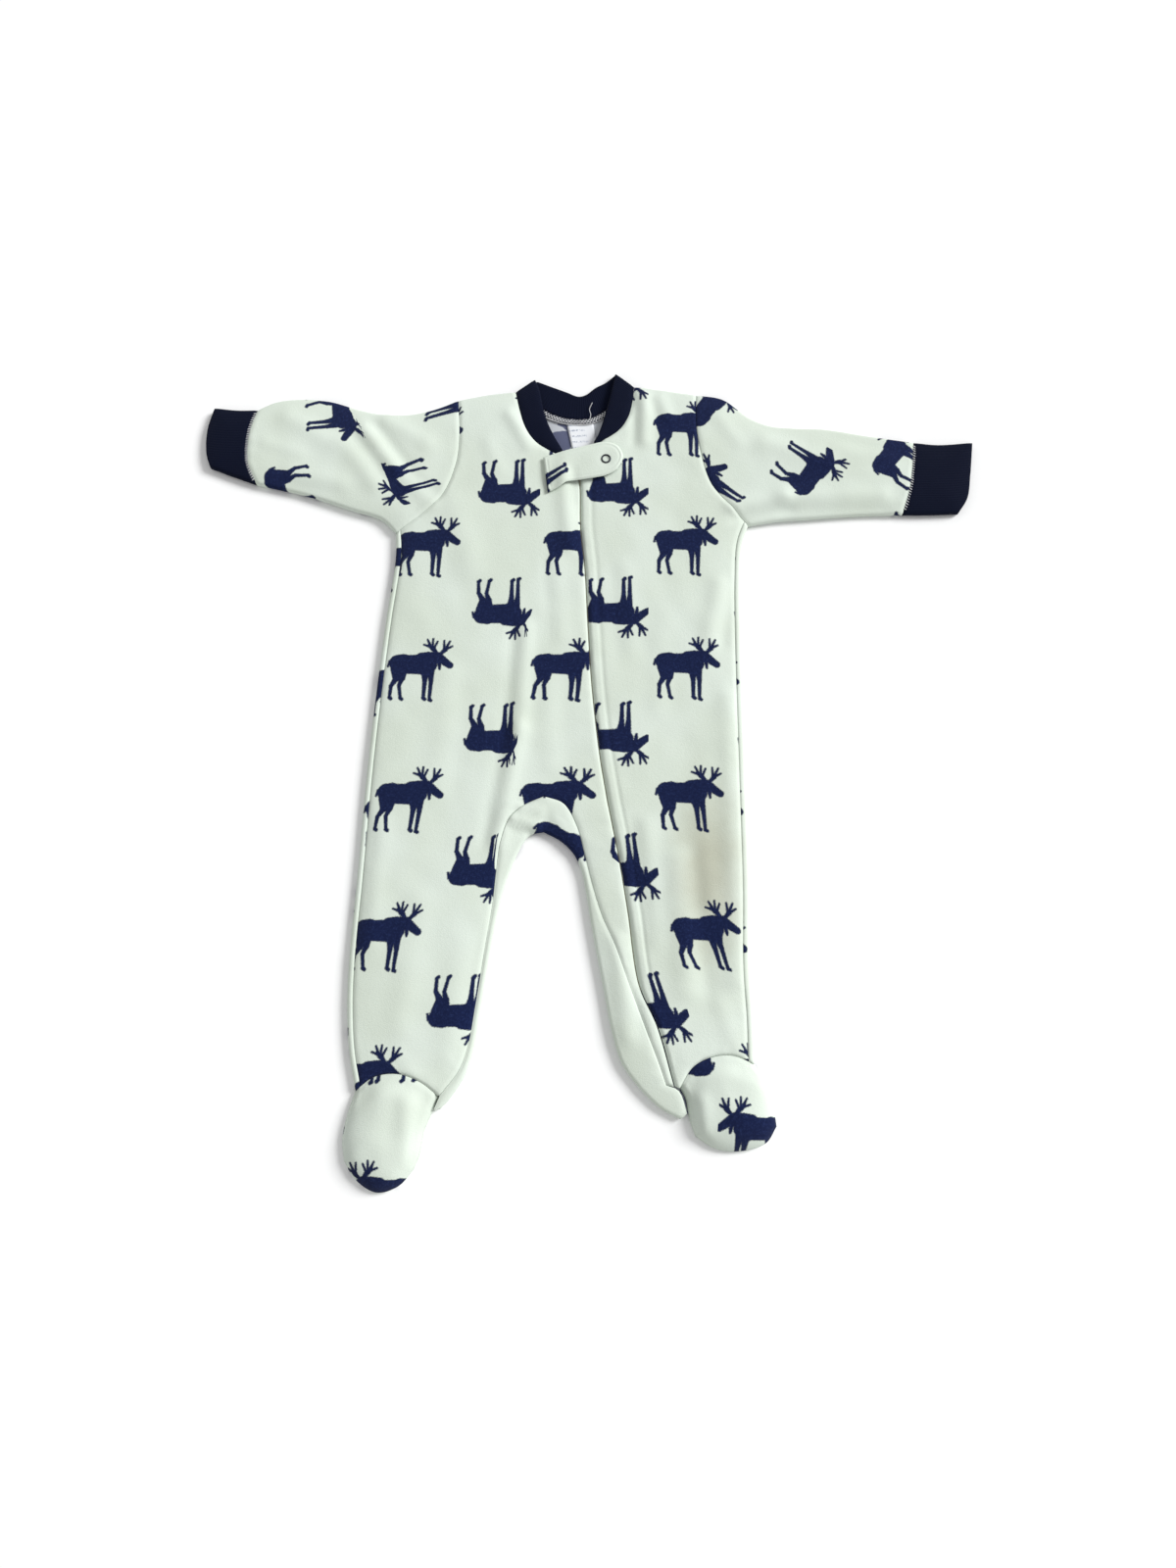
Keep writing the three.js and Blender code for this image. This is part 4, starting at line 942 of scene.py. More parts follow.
def label_material():
    """White woven tape with rows of small generic marks."""
    nodes = Nodes("label")
    cloth_place = nodes.cloth_place()
    split = nodes.tree.nodes.new("ShaderNodeSeparateXYZ")
    nodes.feed(split.inputs[0], cloth_place)
    row = nodes.math("FLOORED_MODULO", split.outputs[1], 5.2)
    below = nodes.math("SUBTRACT", 1.0, nodes.ramp(row, 3.0, 3.5))
    in_row = nodes.math("MULTIPLY", nodes.ramp(row, 1.2, 1.7), below)
    stretched = nodes.vector("MULTIPLY", cloth_place, (1.6, 0.6, 1.0))
    dashes = nodes.ramp(nodes.noise(stretched, 1.0, 1.0), 0.5, 0.58)
    side = nodes.math("ABSOLUTE", nodes.math("SUBTRACT", split.outputs[0], 10.5))
    inside = nodes.math("SUBTRACT", 1.0, nodes.ramp(side, 7.2, 8.0))
    marks = nodes.math("MULTIPLY", nodes.math("MULTIPLY", in_row, dashes), inside)
    weave = nodes.noise(cloth_place, 2.5)
    base = nodes.mix(nodes.math("MULTIPLY", marks, 0.75), colour(236, 239, 243), colour(128, 140, 166))
    return nodes.finish(Base_Color=base, Roughness=0.65, Normal=nodes.bump(weave, 0.1, 0.6))


def cloth_tape_material():
    nodes = Nodes("zip_tape")
    place = nodes.add("TexCoord", output=3)
    weave = nodes.noise(place, 1400.0)
    base = nodes.mix(nodes.ramp(weave, 0.35, 0.65), colour(214, 208, 186), colour(232, 228, 208))
    return nodes.finish(Base_Color=base, Roughness=0.8, Normal=nodes.bump(weave, 0.15, 0.6))


def thread_material(name, light, dark):
    nodes = Nodes(name)
    place = nodes.add("TexCoord", output=3)
    twist = nodes.noise(place, 1800.0)
    return nodes.finish(
        Base_Color=nodes.mix(twist, light, dark), Roughness=0.75, Normal=nodes.bump(twist, 0.1, 0.6),
    )


def metal_material(name, shade, roughness):
    nodes = Nodes(name)
    place = nodes.add("TexCoord", output=3)
    wear = nodes.noise(place, 420.0, 4.0, 0.6)
    base = nodes.mix(nodes.math("MULTIPLY", wear, 0.4), shade, colour(120, 124, 134))
    return nodes.finish(
        Base_Color=base, Metallic=0.9, Roughness=nodes.math("MULTIPLY_ADD", wear, 0.25, roughness),
        Normal=nodes.bump(wear, 0.03, 0.5),
    )


Cloth = namedtuple("Cloth", "materials slot")
FLEECE_CLOTH = Cloth([fleece_material("fleece"), fleece_material("fleece_inside", outside=False)], "fleece")
RIB_CLOTH = Cloth([rib_material()], "rib_knit")
LABEL_TAPE = Cloth([label_material()], "label")
TAPE_CLOTH = Cloth([cloth_tape_material()], "zip_tape")
WHITE_THREAD = thread_material("white_thread", colour(240, 240, 240), colour(208, 210, 216))
CREAM_THREAD = thread_material("cream_thread", colour(236, 236, 220), colour(214, 212, 194))
DARK_STEEL = metal_material("dark_steel", colour(26, 28, 36), 0.3)
STEEL = metal_material("steel", colour(176, 178, 182), 0.3)


# Sleeves and cuffs

def across_sleeve(line, crowded=0.0):
    """Points across an armhole or a cuff seam: the front panel's points, then the sleeve's own edge."""
    points = along(line, ARMHOLE_ROWS, BEND, SIDE_WRAP + SEAM, crowded)
    points[0] = line[0] - past_start(line) * BEND
    return [*points, line[-1] - past_end(line) * BEND]


def lay_tube(shell, start, end, top_edge, low_edge, cut, layer=upper):
    """A flattened tube: upper layer, lower layer and the two folded edges between them."""
    grid = between(start, end, inside_of(top_edge, BEND), inside_of(low_edge, BEND))
    lay_grid(shell, laid(grid, layer), cut)
    lay_grid(shell, bends(top_edge), cut)
    lay_grid(shell, bends(low_edge), cut)
    lay_grid(shell, laid(grid, lower), cut)


Arm = namedtuple("Arm", "hand side armhole top low seam cuff_top cuff_low cuff_end cuff_flat cuff_area")
ARMS = [
    Arm("right", -1, ARMHOLE_RIGHT, SLEEVE_TOP_RIGHT, SLEEVE_LOW_RIGHT, CUFF_SEAM_RIGHT, CUFF_TOP_RIGHT,
        CUFF_LOW_RIGHT, CUFF_END_RIGHT, (0.04, 0.13), 0.0047),
    Arm("left", 1, ARMHOLE_LEFT, SLEEVE_TOP_LEFT, SLEEVE_LOW_LEFT, CUFF_SEAM_LEFT, CUFF_TOP_LEFT,
        CUFF_LOW_LEFT, CUFF_END_LEFT, (0.05, 0.13), 0.0062),
]


def tube_edges(side, start_line, end_line, top, low, rows):
    """The two folded edges of a tube that starts just clear of one seam and ends at another line."""
    across = square_to(across_sleeve(start_line), side)
    top_points = along(top, rows, crowded=CROWDED)
    low_points = along(low, rows, crowded=CROWDED)
    top_points[0] = top_points[0] + across[0] * SEAM
    low_points[0] = low_points[0] + across[-1] * SEAM
    top_edge = folded(top_points, side, past_start(start_line), past_start(end_line))
    low_edge = folded(low_points, -side, past_end(start_line), past_end(end_line))
    return moved(across_sleeve(start_line), across, SEAM), top_edge, low_edge


def make_sleeve(arm):
    shell = new_shell()
    start, top_edge, low_edge = tube_edges(arm.side, arm.armhole, arm.seam, arm.top, arm.low, SLEEVE_ROWS)
    name = f"sleeve_{arm.hand}"
    lay_tube(shell, start, across_sleeve(arm.seam), top_edge, low_edge, CUTS[name])
    sewn(name, shell, FLEECE_CLOTH, FLEECE)


# Cloth without a print: its flat places are its own, or turned so that the ribs run along the cuff
OWN_CUT = Cut(0, 0.5 * CELL_WIDTH, 0.5 * CELL_HEIGHT, True, [])
RIB_CUT = Cut(90, 0, 0, True, [])


def make_cuff(arm):
    shell = new_shell()
    start, top_edge, low_edge = tube_edges(
        arm.side, arm.seam, arm.cuff_end, arm.cuff_top, arm.cuff_low, CUFF_ROWS)
    lay_tube(shell, start, across_sleeve(arm.cuff_end), top_edge, low_edge, RIB_CUT)
    stitches = make_overlock(arm)
    sewn(f"cuff_{arm.hand}", shell, RIB_CLOTH, RIB,
         with_pieces=[stitches])


# Fronts and back

TORSO_END = ARMHOLE_ROWS + TORSO_ROWS
LEG_ROWS = LEG_ROWS_EACH * (len(INNER_RIGHT) - 1)
SLEEVE_END_RIGHT = across_sleeve(ARMHOLE_RIGHT)
SLEEVE_END_LEFT = across_sleeve(ARMHOLE_LEFT)
NECK_ROWS_RIGHT = along(NECK_EDGE_RIGHT, ARMHOLE_ROWS, BEND)
NECK_ROWS_LEFT = along(NECK_EDGE_LEFT, ARMHOLE_ROWS, BEND)
ZIP_ROWS = [*along(ZIP, TORSO_ROWS), *along(ZIP_LEG, LEG_ROWS)[1:]]
MOUTH_ROWS = 7


def side_of(line, side, armhole, ankle):
    """A side of the torso and leg, whose last place stands clear of the foot."""
    ankle_run = (ankle[0] - ankle[5]).normalized()
    points, out = folded(along(line, TORSO_ROWS + LEG_ROWS), side, past_end(armhole), ankle_run)
    points[-1] = points[-1] + square_to([ankle[0], ankle[5]], -side)[0] * SEAM
    return points, out


SIDE_PLACES_RIGHT = side_of(SIDE_RIGHT, -1, ARMHOLE_RIGHT, ANKLE_EDGE_RIGHT)
SIDE_PLACES_LEFT = side_of(SIDE_LEFT, 1, ARMHOLE_LEFT, ANKLE_EDGE_LEFT)


def slit_edge(side):
    """One side of the zip's slit, with its wider mouth at the top."""
    halves = [lerp(HALF_MOUTH, HALF_SLIT, min(k / MOUTH_ROWS, 1)) for k in range(len(ZIP_ROWS))]
    return [point + out * half for point, out, half in zip(ZIP_ROWS, square_to(ZIP_ROWS, side), halves)]


def front_side(armhole_points, side_places):
    """A front's side edge, from the shoulder to the ankle."""
    return [*armhole_points[:ARMHOLE_ROWS], *inside_of(side_places, SIDE_WRAP + SEAM)]


def shoulder_of(points, neck_rows, neck_side, start_out, end_out, neck_index):
    """The shoulder edge of a front, with its neck end kept clear of the neckband."""
    points[neck_index] = points[neck_index] + square_to(neck_rows, neck_side)[0] * SEAM
    return folded(points, 1, start_out, end_out)


def by_way_of(start, middle, end, before, after):
    """Points from one place to another through a third, crowded at all three."""
    first = [lerp(start, middle, share) for share in spread(before, CROWDED)]
    second = [lerp(middle, end, share) for share in spread(after, CROWDED)]
    return [*first[:-1], *second]


# Rows of the strip beside the zip that show print, from the crotch down
STRIP_PRINT_ROWS = 18


def make_front_right():
    """The right half of the torso, the right leg, and a strip down the left leg beside the zip."""
    shell = new_shell()
    cut = CUTS["front_right"]
    columns = LEG_COLUMNS + STRIP_COLUMNS
    shoulder = shoulder_of(
        along(SHOULDER_EDGE_RIGHT, columns, crowded=CROWDED), NECK_ROWS_RIGHT, -1,
        past_start(ARMHOLE_RIGHT), past_start(NECK_EDGE_RIGHT), columns)
    side = front_side(SLEEVE_END_RIGHT, SIDE_PLACES_RIGHT)
    slit = slit_edge(-1)
    neck_and_slit = [*beside(NECK_ROWS_RIGHT, -1, SEAM)[:ARMHOLE_ROWS], *slit]
    inseam = beside(ARCH_RIGHT, -1, SEAM)
    strip_side = beside(ARCH_LEFT, 1, SEAM)
    strip_side[0] = inseam[0]

    lay_grid(shell, bends(shoulder), cut)
    crotch = by_way_of(side[TORSO_END], inseam[0], neck_and_slit[TORSO_END], LEG_COLUMNS, STRIP_COLUMNS)
    torso_side = side[:TORSO_END + 1]
    torso_slit = neck_and_slit[:TORSO_END + 1]
    lay_grid(shell, laid(between(inside_of(shoulder, BEND), crotch, torso_side, torso_slit), upper), cut)

    ankle = beside(along(ANKLE_EDGE_RIGHT, LEG_COLUMNS, SIDE_WRAP, crowded=CROWDED), 1, SEAM)
    ankle[0] = side[-1]
    ankle[-1] = inseam[-1]
    lay_grid(shell, laid(between(crotch[:LEG_COLUMNS + 1], ankle, side[TORSO_END:], inseam), upper), cut)

    strip_side[-1] = strip_side[-1] + Vector((0, SEAM, 0))
    strip_slit = slit[TORSO_ROWS:]
    strip_end = ruled([strip_side[-1]], [strip_slit[-1]], STRIP_COLUMNS, CROWDED)[0]
    strip = between(crotch[LEG_COLUMNS:], strip_end, strip_side, strip_slit)
    rows = laid(strip, upper)
    lay_grid(shell, rows[:STRIP_PRINT_ROWS + 1], cut)
    lay_grid(shell, rows[STRIP_PRINT_ROWS:], CUTS["plain"])
    sewn("front_right", shell, FLEECE_CLOTH, FLEECE)


def make_front_left():
    """From the zip to the left side."""
    shell = new_shell()
    cut = CUTS["front_left"]
    shoulder = shoulder_of(
        along(SHOULDER_EDGE_LEFT, LEFT_COLUMNS, crowded=CROWDED), NECK_ROWS_LEFT, 1,
        past_start(NECK_EDGE_LEFT), past_start(ARMHOLE_LEFT), 0)
    side = front_side(SLEEVE_END_LEFT, SIDE_PLACES_LEFT)
    neck_and_slit = [*beside(NECK_ROWS_LEFT, 1, SEAM)[:ARMHOLE_ROWS], *slit_edge(1)]
    ankle = beside(along(ANKLE_EDGE_LEFT, LEFT_COLUMNS - 1, SIDE_WRAP, crowded=CROWDED), -1, SEAM)
    ankle[0] = side[-1]
    ankle_row = [neck_and_slit[-1], *reversed(ankle)]

    lay_grid(shell, bends(shoulder), cut)
    lay_grid(shell, laid(between(inside_of(shoulder, BEND), ankle_row, neck_and_slit, side), upper), cut)
    sewn("front_left", shell, FLEECE_CLOTH, FLEECE)


# Rows of the legs' insides that show print at the crotch, to each side of its middle
CROTCH_ROWS_RIGHT = 20
CROTCH_ROWS_LEFT = 34


def inner_edge():
    """The folded edge between the legs, from heel to heel over the crotch, and the seam on top beside it."""
    legs = [
        (along(FOOT_RIGHT.wedge_edge, WEDGE_ROWS), along(FOOT_RIGHT.wedge_seam, WEDGE_ROWS)),
        (INNER_EDGE_RIGHT, ARCH_RIGHT),
        (INNER_EDGE_LEFT, ARCH_LEFT),
        (along(FOOT_LEFT.wedge_edge, WEDGE_ROWS), along(FOOT_LEFT.wedge_seam, WEDGE_ROWS)),
    ]
    points, seam = [
        [*legs[0][k][::-1], *legs[1][k][::-1][1:], *legs[2][k][1:], *legs[3][k][1:]] for k in (0, 1)
    ]
    ends = [(points[k] - seam[k]).normalized() for k in (0, -1)]
    return folded(points, -1, *ends), seam


def back_at_foot(foot, side):
    """The back's floor outline at one foot, from the ankle's outer end to the wedge's tip."""
    across = beside(along(foot.ankle, LEG_COLUMNS, SIDE_WRAP), side, SEAM)
    down = beside(along(foot.wedge_floor, WEDGE_ROWS), side, SEAM)
    return [*across[:-1], lerp(across[-1], down[0], 0.5), *down[1:]]


def make_back():
    """One level sheet under the whole garment, folded up round the sides, legs and crotch."""
    shell = new_shell()
    inner, seam = inner_edge()
    shoulder_right = folded(
        along(SHOULDER_EDGE_RIGHT, NECK_COLUMNS), 1, past_start(ARMHOLE_RIGHT), past_start(NECK_EDGE_RIGHT))
    shoulder_left = folded(
        along(SHOULDER_EDGE_LEFT, NECK_COLUMNS), 1, past_start(NECK_EDGE_LEFT), past_start(ARMHOLE_LEFT))
    neck = beside(along(NECK_BACK, NECK_COLUMNS, BEND, BEND), -1, SEAM)
    contour = [
        *inside_of(shoulder_right, BEND + SEAM)[::-1],
        *SLEEVE_END_RIGHT[1:ARMHOLE_ROWS + 1], *inside_of(SIDE_PLACES_RIGHT, BEND),
        *back_at_foot(FOOT_RIGHT, 1),
        *inside_of(inner, BEND),
        *back_at_foot(FOOT_LEFT, -1)[::-1],
        *inside_of(SIDE_PLACES_LEFT, BEND)[::-1], *SLEEVE_END_LEFT[1:ARMHOLE_ROWS + 1][::-1],
        *inside_of(shoulder_left, BEND + SEAM)[::-1],
        *neck[1:-1][::-1],
    ]
    lay_level(shell, [lower(point) for point in contour], CUTS["back"])
    for points, out in (SIDE_PLACES_RIGHT, SIDE_PLACES_LEFT):
        seam_points = moved(points, out, -SIDE_WRAP)
        rows = [[upper(start), *bend(point, way)] for start, point, way in zip(seam_points, points, out)]
        lay_grid(shell, rows, CUTS["back"])
    flat_part = ruled(seam, inside_of(inner, BEND), INNER_COLUMNS, CROWDED)
    rows = [
        [*[upper(place) for place in row[:-1]], *bend(point, way)]
        for row, point, way in zip(flat_part, *inner)
    ]
    middle = WEDGE_ROWS + LEG_ROWS
    lay_grid(shell, rows[:middle - CROTCH_ROWS_RIGHT + 1], CUTS["plain"])
    lay_grid(shell, rows[middle - CROTCH_ROWS_RIGHT:middle + CROTCH_ROWS_LEFT + 1], CUTS["crotch"])
    lay_grid(shell, rows[middle + CROTCH_ROWS_LEFT:], CUTS["plain"])
    sewn("back", shell, FLEECE_CLOTH, FLEECE)


# Neckband

BAND_ROWS = 28


def band_spots(rows, layer):
    """Rib cloth that runs along the band: its length comes first, then its width."""
    lengths = lengths_along([row[-1] for row in rows])
    laid_rows = laid(rows, layer)
    return [
        [Spot(spot.place, Vector((length, 2.5 * column))) for column, spot in enumerate(row)]
        for row, length in zip(laid_rows, lengths)
    ]


def peak_fold(corner, peak, front, front_band, back, back_band):
    """The band's fold at one peak, from the front strip round to the strip behind the neck."""
    columns = []
    for share in spread(BAND_COLUMNS, CROWDED):
        place = lerp(Vector((*corner, 0.0)), Vector((*peak, 0.0)), share)
        columns.append(bend(place, lerp(front, front_band, share).normalized(),
                            lerp(back, back_band, share).normalized()))
    return columns


def make_neckband():
    """Up one front, folded over at a peak, behind the neck, and down the other front."""
    shell = new_shell()
    right = peak_fold(NECK_RIGHT, PEAK_RIGHT, past_start(NECK_EDGE_RIGHT), past_start(BAND_RIGHT),
                      past_start(NECK_BACK), past_start(BAND_BACK))
    left = peak_fold(NECK_LEFT, PEAK_LEFT, past_start(NECK_EDGE_LEFT), past_start(BAND_LEFT),
                     past_end(NECK_BACK), past_end(BAND_BACK))
    for corner, neck_rows, band in ((right, NECK_ROWS_RIGHT, BAND_RIGHT), (left, NECK_ROWS_LEFT, BAND_LEFT)):
        strip = ruled(neck_rows[:BAND_ROWS + 1], along(band, BAND_ROWS, BEND), BAND_COLUMNS, CROWDED)
        rows = band_spots(strip, upper)
        rows[0] = [Spot(spots[0].place, row.flat) for spots, row in zip(corner, rows[0])]
        lay_grid(shell, rows, OWN_CUT)
        lay_grid(shell, corner, OWN_CUT)
    behind = ruled(along(NECK_BACK, NECK_COLUMNS, BEND, BEND), along(BAND_BACK, NECK_COLUMNS, BEND, BEND),
                   BAND_COLUMNS, CROWDED)
    rows = band_spots(behind, lower)
    rows[0] = [Spot(spots[-1].place, row.flat) for spots, row in zip(right, rows[0])]
    rows[-1] = [Spot(spots[-1].place, row.flat) for spots, row in zip(left, rows[-1])]
    lay_grid(shell, rows, OWN_CUT)
    sewn("neckband", shell, RIB_CLOTH, RIB,
         with_pieces=make_neck_allowance())


# Feet

def make_foot(hand, foot):
    """A domed upper whose rim stands on the sole, and the sole below it."""
    columns = LEG_COLUMNS
    left = along(foot.outer, FOOT_ROWS, crowded=CROWDED)
    right = along(foot.inner, FOOT_ROWS, crowded=CROWDED)
    ankle_row = [left[0], *along(foot.ankle, columns - 1, SIDE_WRAP)]
    toe_row = along(foot.toe, columns)
    grid = between(ankle_row, toe_row, left, right)
    rim = tree_of([along(foot.outer, 120), along(foot.toe, 120), along(foot.inner, 120)])
    ankle = tree_of([along(foot.ankle, 150)])

    def domed(point):
        reach = reach_to(rim, point.x, point.y)
        dome = FOOT_RIM + FOOT_DOME * (1 - math.exp(-reach / FOOT_RUN))
        waves = 0.9 * noise.noise(point / 20) * smoothstep(reach, 0, 14)
        creases = 0.8 * crease_rise(point) * smoothstep(reach, 0, 10)
        share = smoothstep(reach_to(ankle, point.x, point.y), 0, FOOT_BLEND) * smoothstep(reach, 0, 3)
        low = lerp(FOOT_RIM, top_of(point.x, point.y), smoothstep(reach, 0, 4))
        return Spot(Vector((point.x, point.y, lerp(low, dome + waves + creases, share))), point.xy)

    shell = new_shell()
    lay_grid(shell, laid(grid, domed), CUTS[f"foot_upper_{hand}"])
    sewn(f"foot_upper_{hand}", shell, FLEECE_CLOTH, FLEECE)

    sole = new_shell()
    lay_grid(sole, laid(grid, lower), CUTS[f"sole_{hand}"])
    border = [*left, *toe_row[1:-1], *right[::-1]]
    wall = [
        [Spot(Vector((point.x, point.y, height)), point.xy) for height in (0.0, 0.9, 1.8, FOOT_RIM - SEAM)]
        for point in border
    ]
    lay_grid(sole, wall, CUTS[f"sole_{hand}"])
    sewn(f"sole_{hand}", sole, FLEECE_CLOTH, FLEECE)


# Tab and its fastener

TAB_LOW = edge(*[row[:2] for row in TAB_SECTIONS])
TAB_HIGH = edge(*[row[2:] for row in TAB_SECTIONS])
TAB_START = edge(TAB_SECTIONS[0][:2], TAB_SECTIONS[0][2:])
TAB_END = edge(TAB_SECTIONS[-1][:2], TAB_TIP, TAB_SECTIONS[-1][2:])
TAB_EDGE = tree_of([TAB_LOW, TAB_HIGH, TAB_START, TAB_END])
TAB_COLUMNS = 28
TAB_ROWS = 60
TAB_STITCH = 2.8
SNAP_PLACE = (13.8, 244.5)
SNAP_RADIUS = 3.4
SNAP_WIRE = 0.7


def tab_height(x, y):
    """Height of the tab's upper face, which rounds off at its edge."""
    lift = lerp(TAB_REST, TAB_LIFT, smoothstep(x, *TAB_RISE))
    reach = reach_to(TAB_EDGE, x, y)
    rounding = 1.2 * math.exp(-(reach / 1.1) ** 2)
    groove = 0.45 * math.exp(-((reach - TAB_STITCH) / 0.7) ** 2)
    pressed = 0.5 * math.exp(-((math.dist((x, y), SNAP_PLACE) / 5.5) ** 2))
    waves = 0.5 * noise.noise(Vector((x, y, 0.0)) / 16)
    return smooth_top(x, y) + lift + TAB_CLOTH - rounding - groove - pressed + waves + 0.4


def make_tab():
    shell = new_shell()
    rows = between(
        along(TAB_START, TAB_COLUMNS, crowded=CROWDED), along(TAB_END, TAB_COLUMNS, crowded=CROWDED),
        along(TAB_LOW, TAB_ROWS, crowded=CROWDED), along(TAB_HIGH, TAB_ROWS, crowded=CROWDED))
    spots = [[Spot(Vector((p.x, p.y, tab_height(p.x, p.y))), p.xy) for p in row] for row in rows]
    lay_grid(shell, spots, CUTS["zip_tab"])
    sewn("zip_tab", shell, FLEECE_CLOTH, TAB_CLOTH - 0.6)


def add_ring(shell, x, y, z, radius, wire):
    """A round wire ring, lying level."""
    made = bmesh.ops.create_circle(shell, segments=12, radius=wire)
    bmesh.ops.rotate(shell, verts=made["verts"], matrix=Matrix.Rotation(math.pi / 2, 3, "X"))
    bmesh.ops.translate(shell, verts=made["verts"], vec=(x + radius, y, z))
    edges = list({edge for vert in made["verts"] for edge in vert.link_edges})
    bmesh.ops.spin(shell, geom=[*made["verts"], *edges], cent=(x, y, z), axis=(0, 0, 1),
                   angle=2 * math.pi, steps=48, use_merge=True)
    bmesh.ops.recalc_face_normals(shell, faces=shell.faces)
    soften(shell.verts)


def make_snap():
    ring = bmesh.new()
    height = tab_height(*SNAP_PLACE)
    add_ring(ring, *SNAP_PLACE, height + 0.35, SNAP_RADIUS, SNAP_WIRE)
    finished("snap_wire", ring, [DARK_STEEL], ("snap_ring",))


# Threads

def add_thread(shell, start, end, radius):
    """A short rounded piece of thread between two places."""
    way = end - start
    verts = bmesh.ops.create_icosphere(shell, subdivisions=1, radius=1)["verts"]
    bmesh.ops.scale(shell, verts=verts, vec=(radius, radius, way.length / 2 + radius))
    turn = Vector((0, 0, 1)).rotation_difference(way).to_matrix()
    bmesh.ops.rotate(shell, verts=verts, matrix=turn)
    bmesh.ops.translate(shell, verts=verts, vec=(start + end) / 2)
    soften(verts)


def stitches_along(shell, line, pitch, length, radius, slant, height):
    """Stitches that cross a line, a little uneven, with their middle at a height over it."""
    count = round(lengths_along(line)[-1] / pitch)
    points = along(line, count)
    for k, (point, out) in enumerate(zip(points, square_to(points, 1))):
        uneven = noise.noise(point / 3)
        run = Vector((out.y, -out.x, 0.0))
        half = (out * (0.5 * length) + run * (slant * length)) * (1 + 0.3 * uneven)
        middle = Vector((point.x, point.y, height(point.x, point.y)))
        add_thread(shell, middle - half, middle + half, radius * (1 + 0.25 * uneven))


# Pieces that lie between or on the cloths

def make_overlock(arm):
    """White overlock stitches along a cuff's seam."""
    shell = bmesh.new()
    line = along(arm.seam, 90, SIDE_WRAP, SIDE_WRAP)
    on_rib = beside(line, arm.side, 0.7)
    stitches_along(shell, on_rib, 2.2, 2.3, 0.38, 0.2 * arm.side, lambda x, y: top_of(x, y) + 0.3)
    return finished(f"cuff_stitches_{arm.hand}", shell, [WHITE_THREAD])


ZIP_END_ROW = TORSO_ROWS + 8 * LEG_ROWS // 12
TAPE_HALF = 5
TAPE_DEPTH = 2.7
TOOTH_PITCH = 1.3


def make_zip():
    """The tape under the slit, with a row of coil teeth on it."""
    rows = ZIP_ROWS[:ZIP_END_ROW + 1]
    shell = new_shell()
    grid = ruled(beside(rows, -1, TAPE_HALF), beside(rows, 1, TAPE_HALF), 4)
    spots = [
        [Spot(Vector((p.x, p.y, top_of(p.x, p.y) - TAPE_DEPTH)), p.xy) for p in row] for row in grid
    ]
    lay_grid(shell, spots, OWN_CUT)
    teeth = bmesh.new()
    stitches_along(teeth, rows, TOOTH_PITCH, 2.4, 0.42, 0.12, lambda x, y: top_of(x, y) - TAPE_DEPTH + 0.15)
    coil = finished("zip_coil", teeth, [CREAM_THREAD])
    sewn("zip_tape", shell, TAPE_CLOTH, 0.5,
         with_pieces=[coil])


LABEL_ROWS = 24
LABEL_COLUMNS = 12


def label_height(x, y):
    return FLEECE + 0.9 + 0.5 * noise.noise(Vector((x, y, 3.0)) / 14)


def make_label():
    shell = new_shell()
    rows = ruled(along(edge(*LABEL_LEFT), LABEL_ROWS), along(edge(*LABEL_RIGHT), LABEL_ROWS), LABEL_COLUMNS)
    across = Vector((LABEL_RIGHT[0][0] - LABEL_LEFT[0][0], LABEL_RIGHT[0][1] - LABEL_LEFT[0][1], 0.0))
    spots = [
        [Spot(Vector((p.x, p.y, label_height(p.x, p.y))),
              Vector((across.length * column / LABEL_COLUMNS, 40 * row / LABEL_ROWS)))
         for column, p in enumerate(points)]
        for row, points in enumerate(rows)
    ]
    lay_grid(shell, spots, OWN_CUT)
    return sewn("care_label", shell, LABEL_TAPE, LABEL_CLOTH)


ALLOWANCE = 6


def allowance_height(x, y):
    return FLEECE + 1.3 + 0.35 * noise.noise(Vector((x, y, 8.0)) / 9)


def make_neck_allowance():
    """The neckband's seam allowance inside the back neck, its overlock stitches and a loose thread."""
    shell = new_shell()
    neck = along(NECK_BACK, 80, BEND + 1.5, BEND + 1.5)
    rows = ruled(beside(neck, -1, 0.5), beside(neck, -1, ALLOWANCE), 5)
    spots = [
        [Spot(Vector((p.x, p.y, allowance_height(p.x, p.y))), Vector((length, p.y))) for p in row]
        for row, length in zip(rows, lengths_along(neck))
    ]
    lay_grid(shell, spots, OWN_CUT)

    threads = bmesh.new()
    for slant in (0.45, -0.45):
        stitches_along(threads, beside(neck, -1, 0.5 * ALLOWANCE + 0.3), 2.6, 4.6, 0.3, slant,
                       lambda x, y: allowance_height(x, y) + 0.25)
    stitches_along(threads, beside(neck, -1, ALLOWANCE), 1.4, 1.2, 0.32, 0.6,
                   lambda x, y: allowance_height(x, y) + 0.15)
    lay_loose_thread(threads)
    overlock = finished("neck_overlock", threads, [WHITE_THREAD])
    look_out(shell)
    allowance = finished("neck_allowance", shell, RIB_CLOTH.materials)
    add_wall(allowance, RIB_CLOTH, 1.2)
    return [allowance, overlock]


LOOSE_THREAD = edge((0.4, 285), (1.3, 290), (0.2, 295), (2.6, 301))


def lay_loose_thread(shell):
    points = along(LOOSE_THREAD, 14)
    for k, (a, b) in enumerate(zip(points, points[1:])):
        lift = Vector((0, 0, FLEECE + 2.2 + 0.3 * math.sin(k / 2)))
        next_lift = Vector((0, 0, FLEECE + 2.2 + 0.3 * math.sin((k + 1) / 2)))
        add_thread(shell, a + lift, b + next_lift, 0.3)


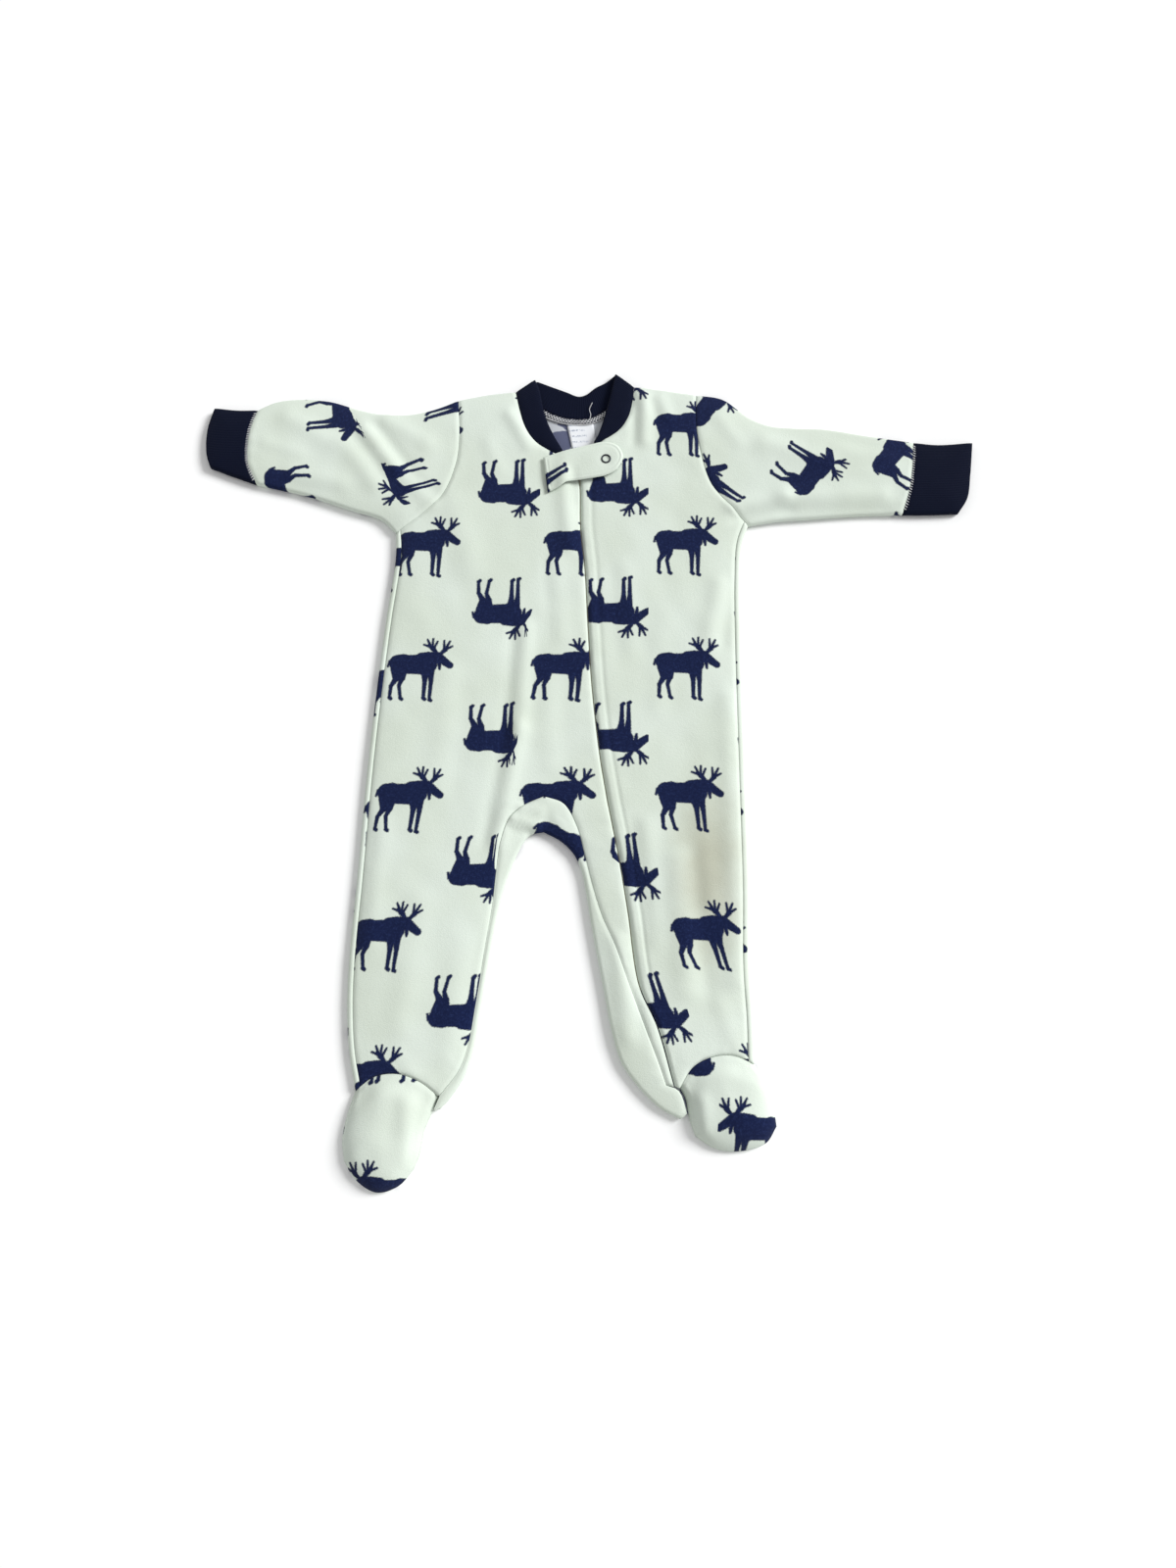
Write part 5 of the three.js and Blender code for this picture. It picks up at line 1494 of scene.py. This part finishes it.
make_back()
make_front_right()
make_front_left()
for arm in ARMS:
    make_sleeve(arm)
    make_cuff(arm)
make_neckband()
make_foot("right", FOOT_RIGHT)
make_foot("left", FOOT_LEFT)
make_tab()
make_snap()
make_zip()
make_label()

for node in ("snap_socket", "zip_slider", "zip_pull"):
    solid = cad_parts[node].data
    solid.materials.clear()
    solid.materials.append(STEEL)


# Floor, lights and camera

def floor_material():
    """White studio sweep with the slightest unevenness."""
    nodes = Nodes("floor")
    place = nodes.add("TexCoord", output=3)
    tone = nodes.mix(nodes.noise(place, 6.0), colour(251, 252, 252), colour(254, 254, 254))
    return nodes.finish(Base_Color=tone, Roughness=0.9, Specular_IOR_Level=0.1)


def make_floor():
    shell = bmesh.new()
    bmesh.ops.create_grid(shell, x_segments=2, y_segments=2, size=3)
    bmesh.ops.translate(shell, verts=shell.verts, vec=(0, 0, -0.0004))
    mesh = bpy.data.meshes.new("floor")
    shell.to_mesh(mesh)
    shell.free()
    mesh.materials.append(floor_material())
    floor = bpy.data.objects.new("floor", mesh)
    bpy.context.collection.objects.link(floor)


def add_window(toward, strength, softness):
    """Even light from one side, with soft shadows."""
    light = bpy.data.lights.new("window", "SUN")
    light.energy = strength
    light.angle = math.radians(softness)
    lamp = bpy.data.objects.new("window", light)
    lamp.location = Vector(toward)
    lamp.rotation_euler = (-Vector(toward)).to_track_quat("-Z", "Y").to_euler()
    bpy.context.collection.objects.link(lamp)


def add_camera():
    lens = bpy.data.cameras.new("camera")
    lens.sensor_width = SENSOR
    lens.lens = FOCAL_PIXELS / IMAGE_ROWS * SENSOR
    lens.clip_start = 0.01
    camera = bpy.data.objects.new("camera", lens)
    camera.location = Vector(CAMERA_PLACE) * MM
    camera.rotation_euler.x = math.radians(CAMERA_TILT)
    bpy.context.collection.objects.link(camera)
    bpy.context.scene.camera = camera


def add_daylight():
    world = bpy.data.worlds.new("studio")
    world.use_nodes = True
    sky = world.node_tree.nodes["Background"]
    sky.inputs["Color"].default_value = (1.0, 1.0, 1.0, 1.0)
    sky.inputs["Strength"].default_value = 0.51
    bpy.context.scene.world = world


make_floor()
add_window((1.3, 0.6, 0.9), 3.2, 24)
add_daylight()
add_camera()
bpy.context.scene.view_settings.view_transform = "Standard"
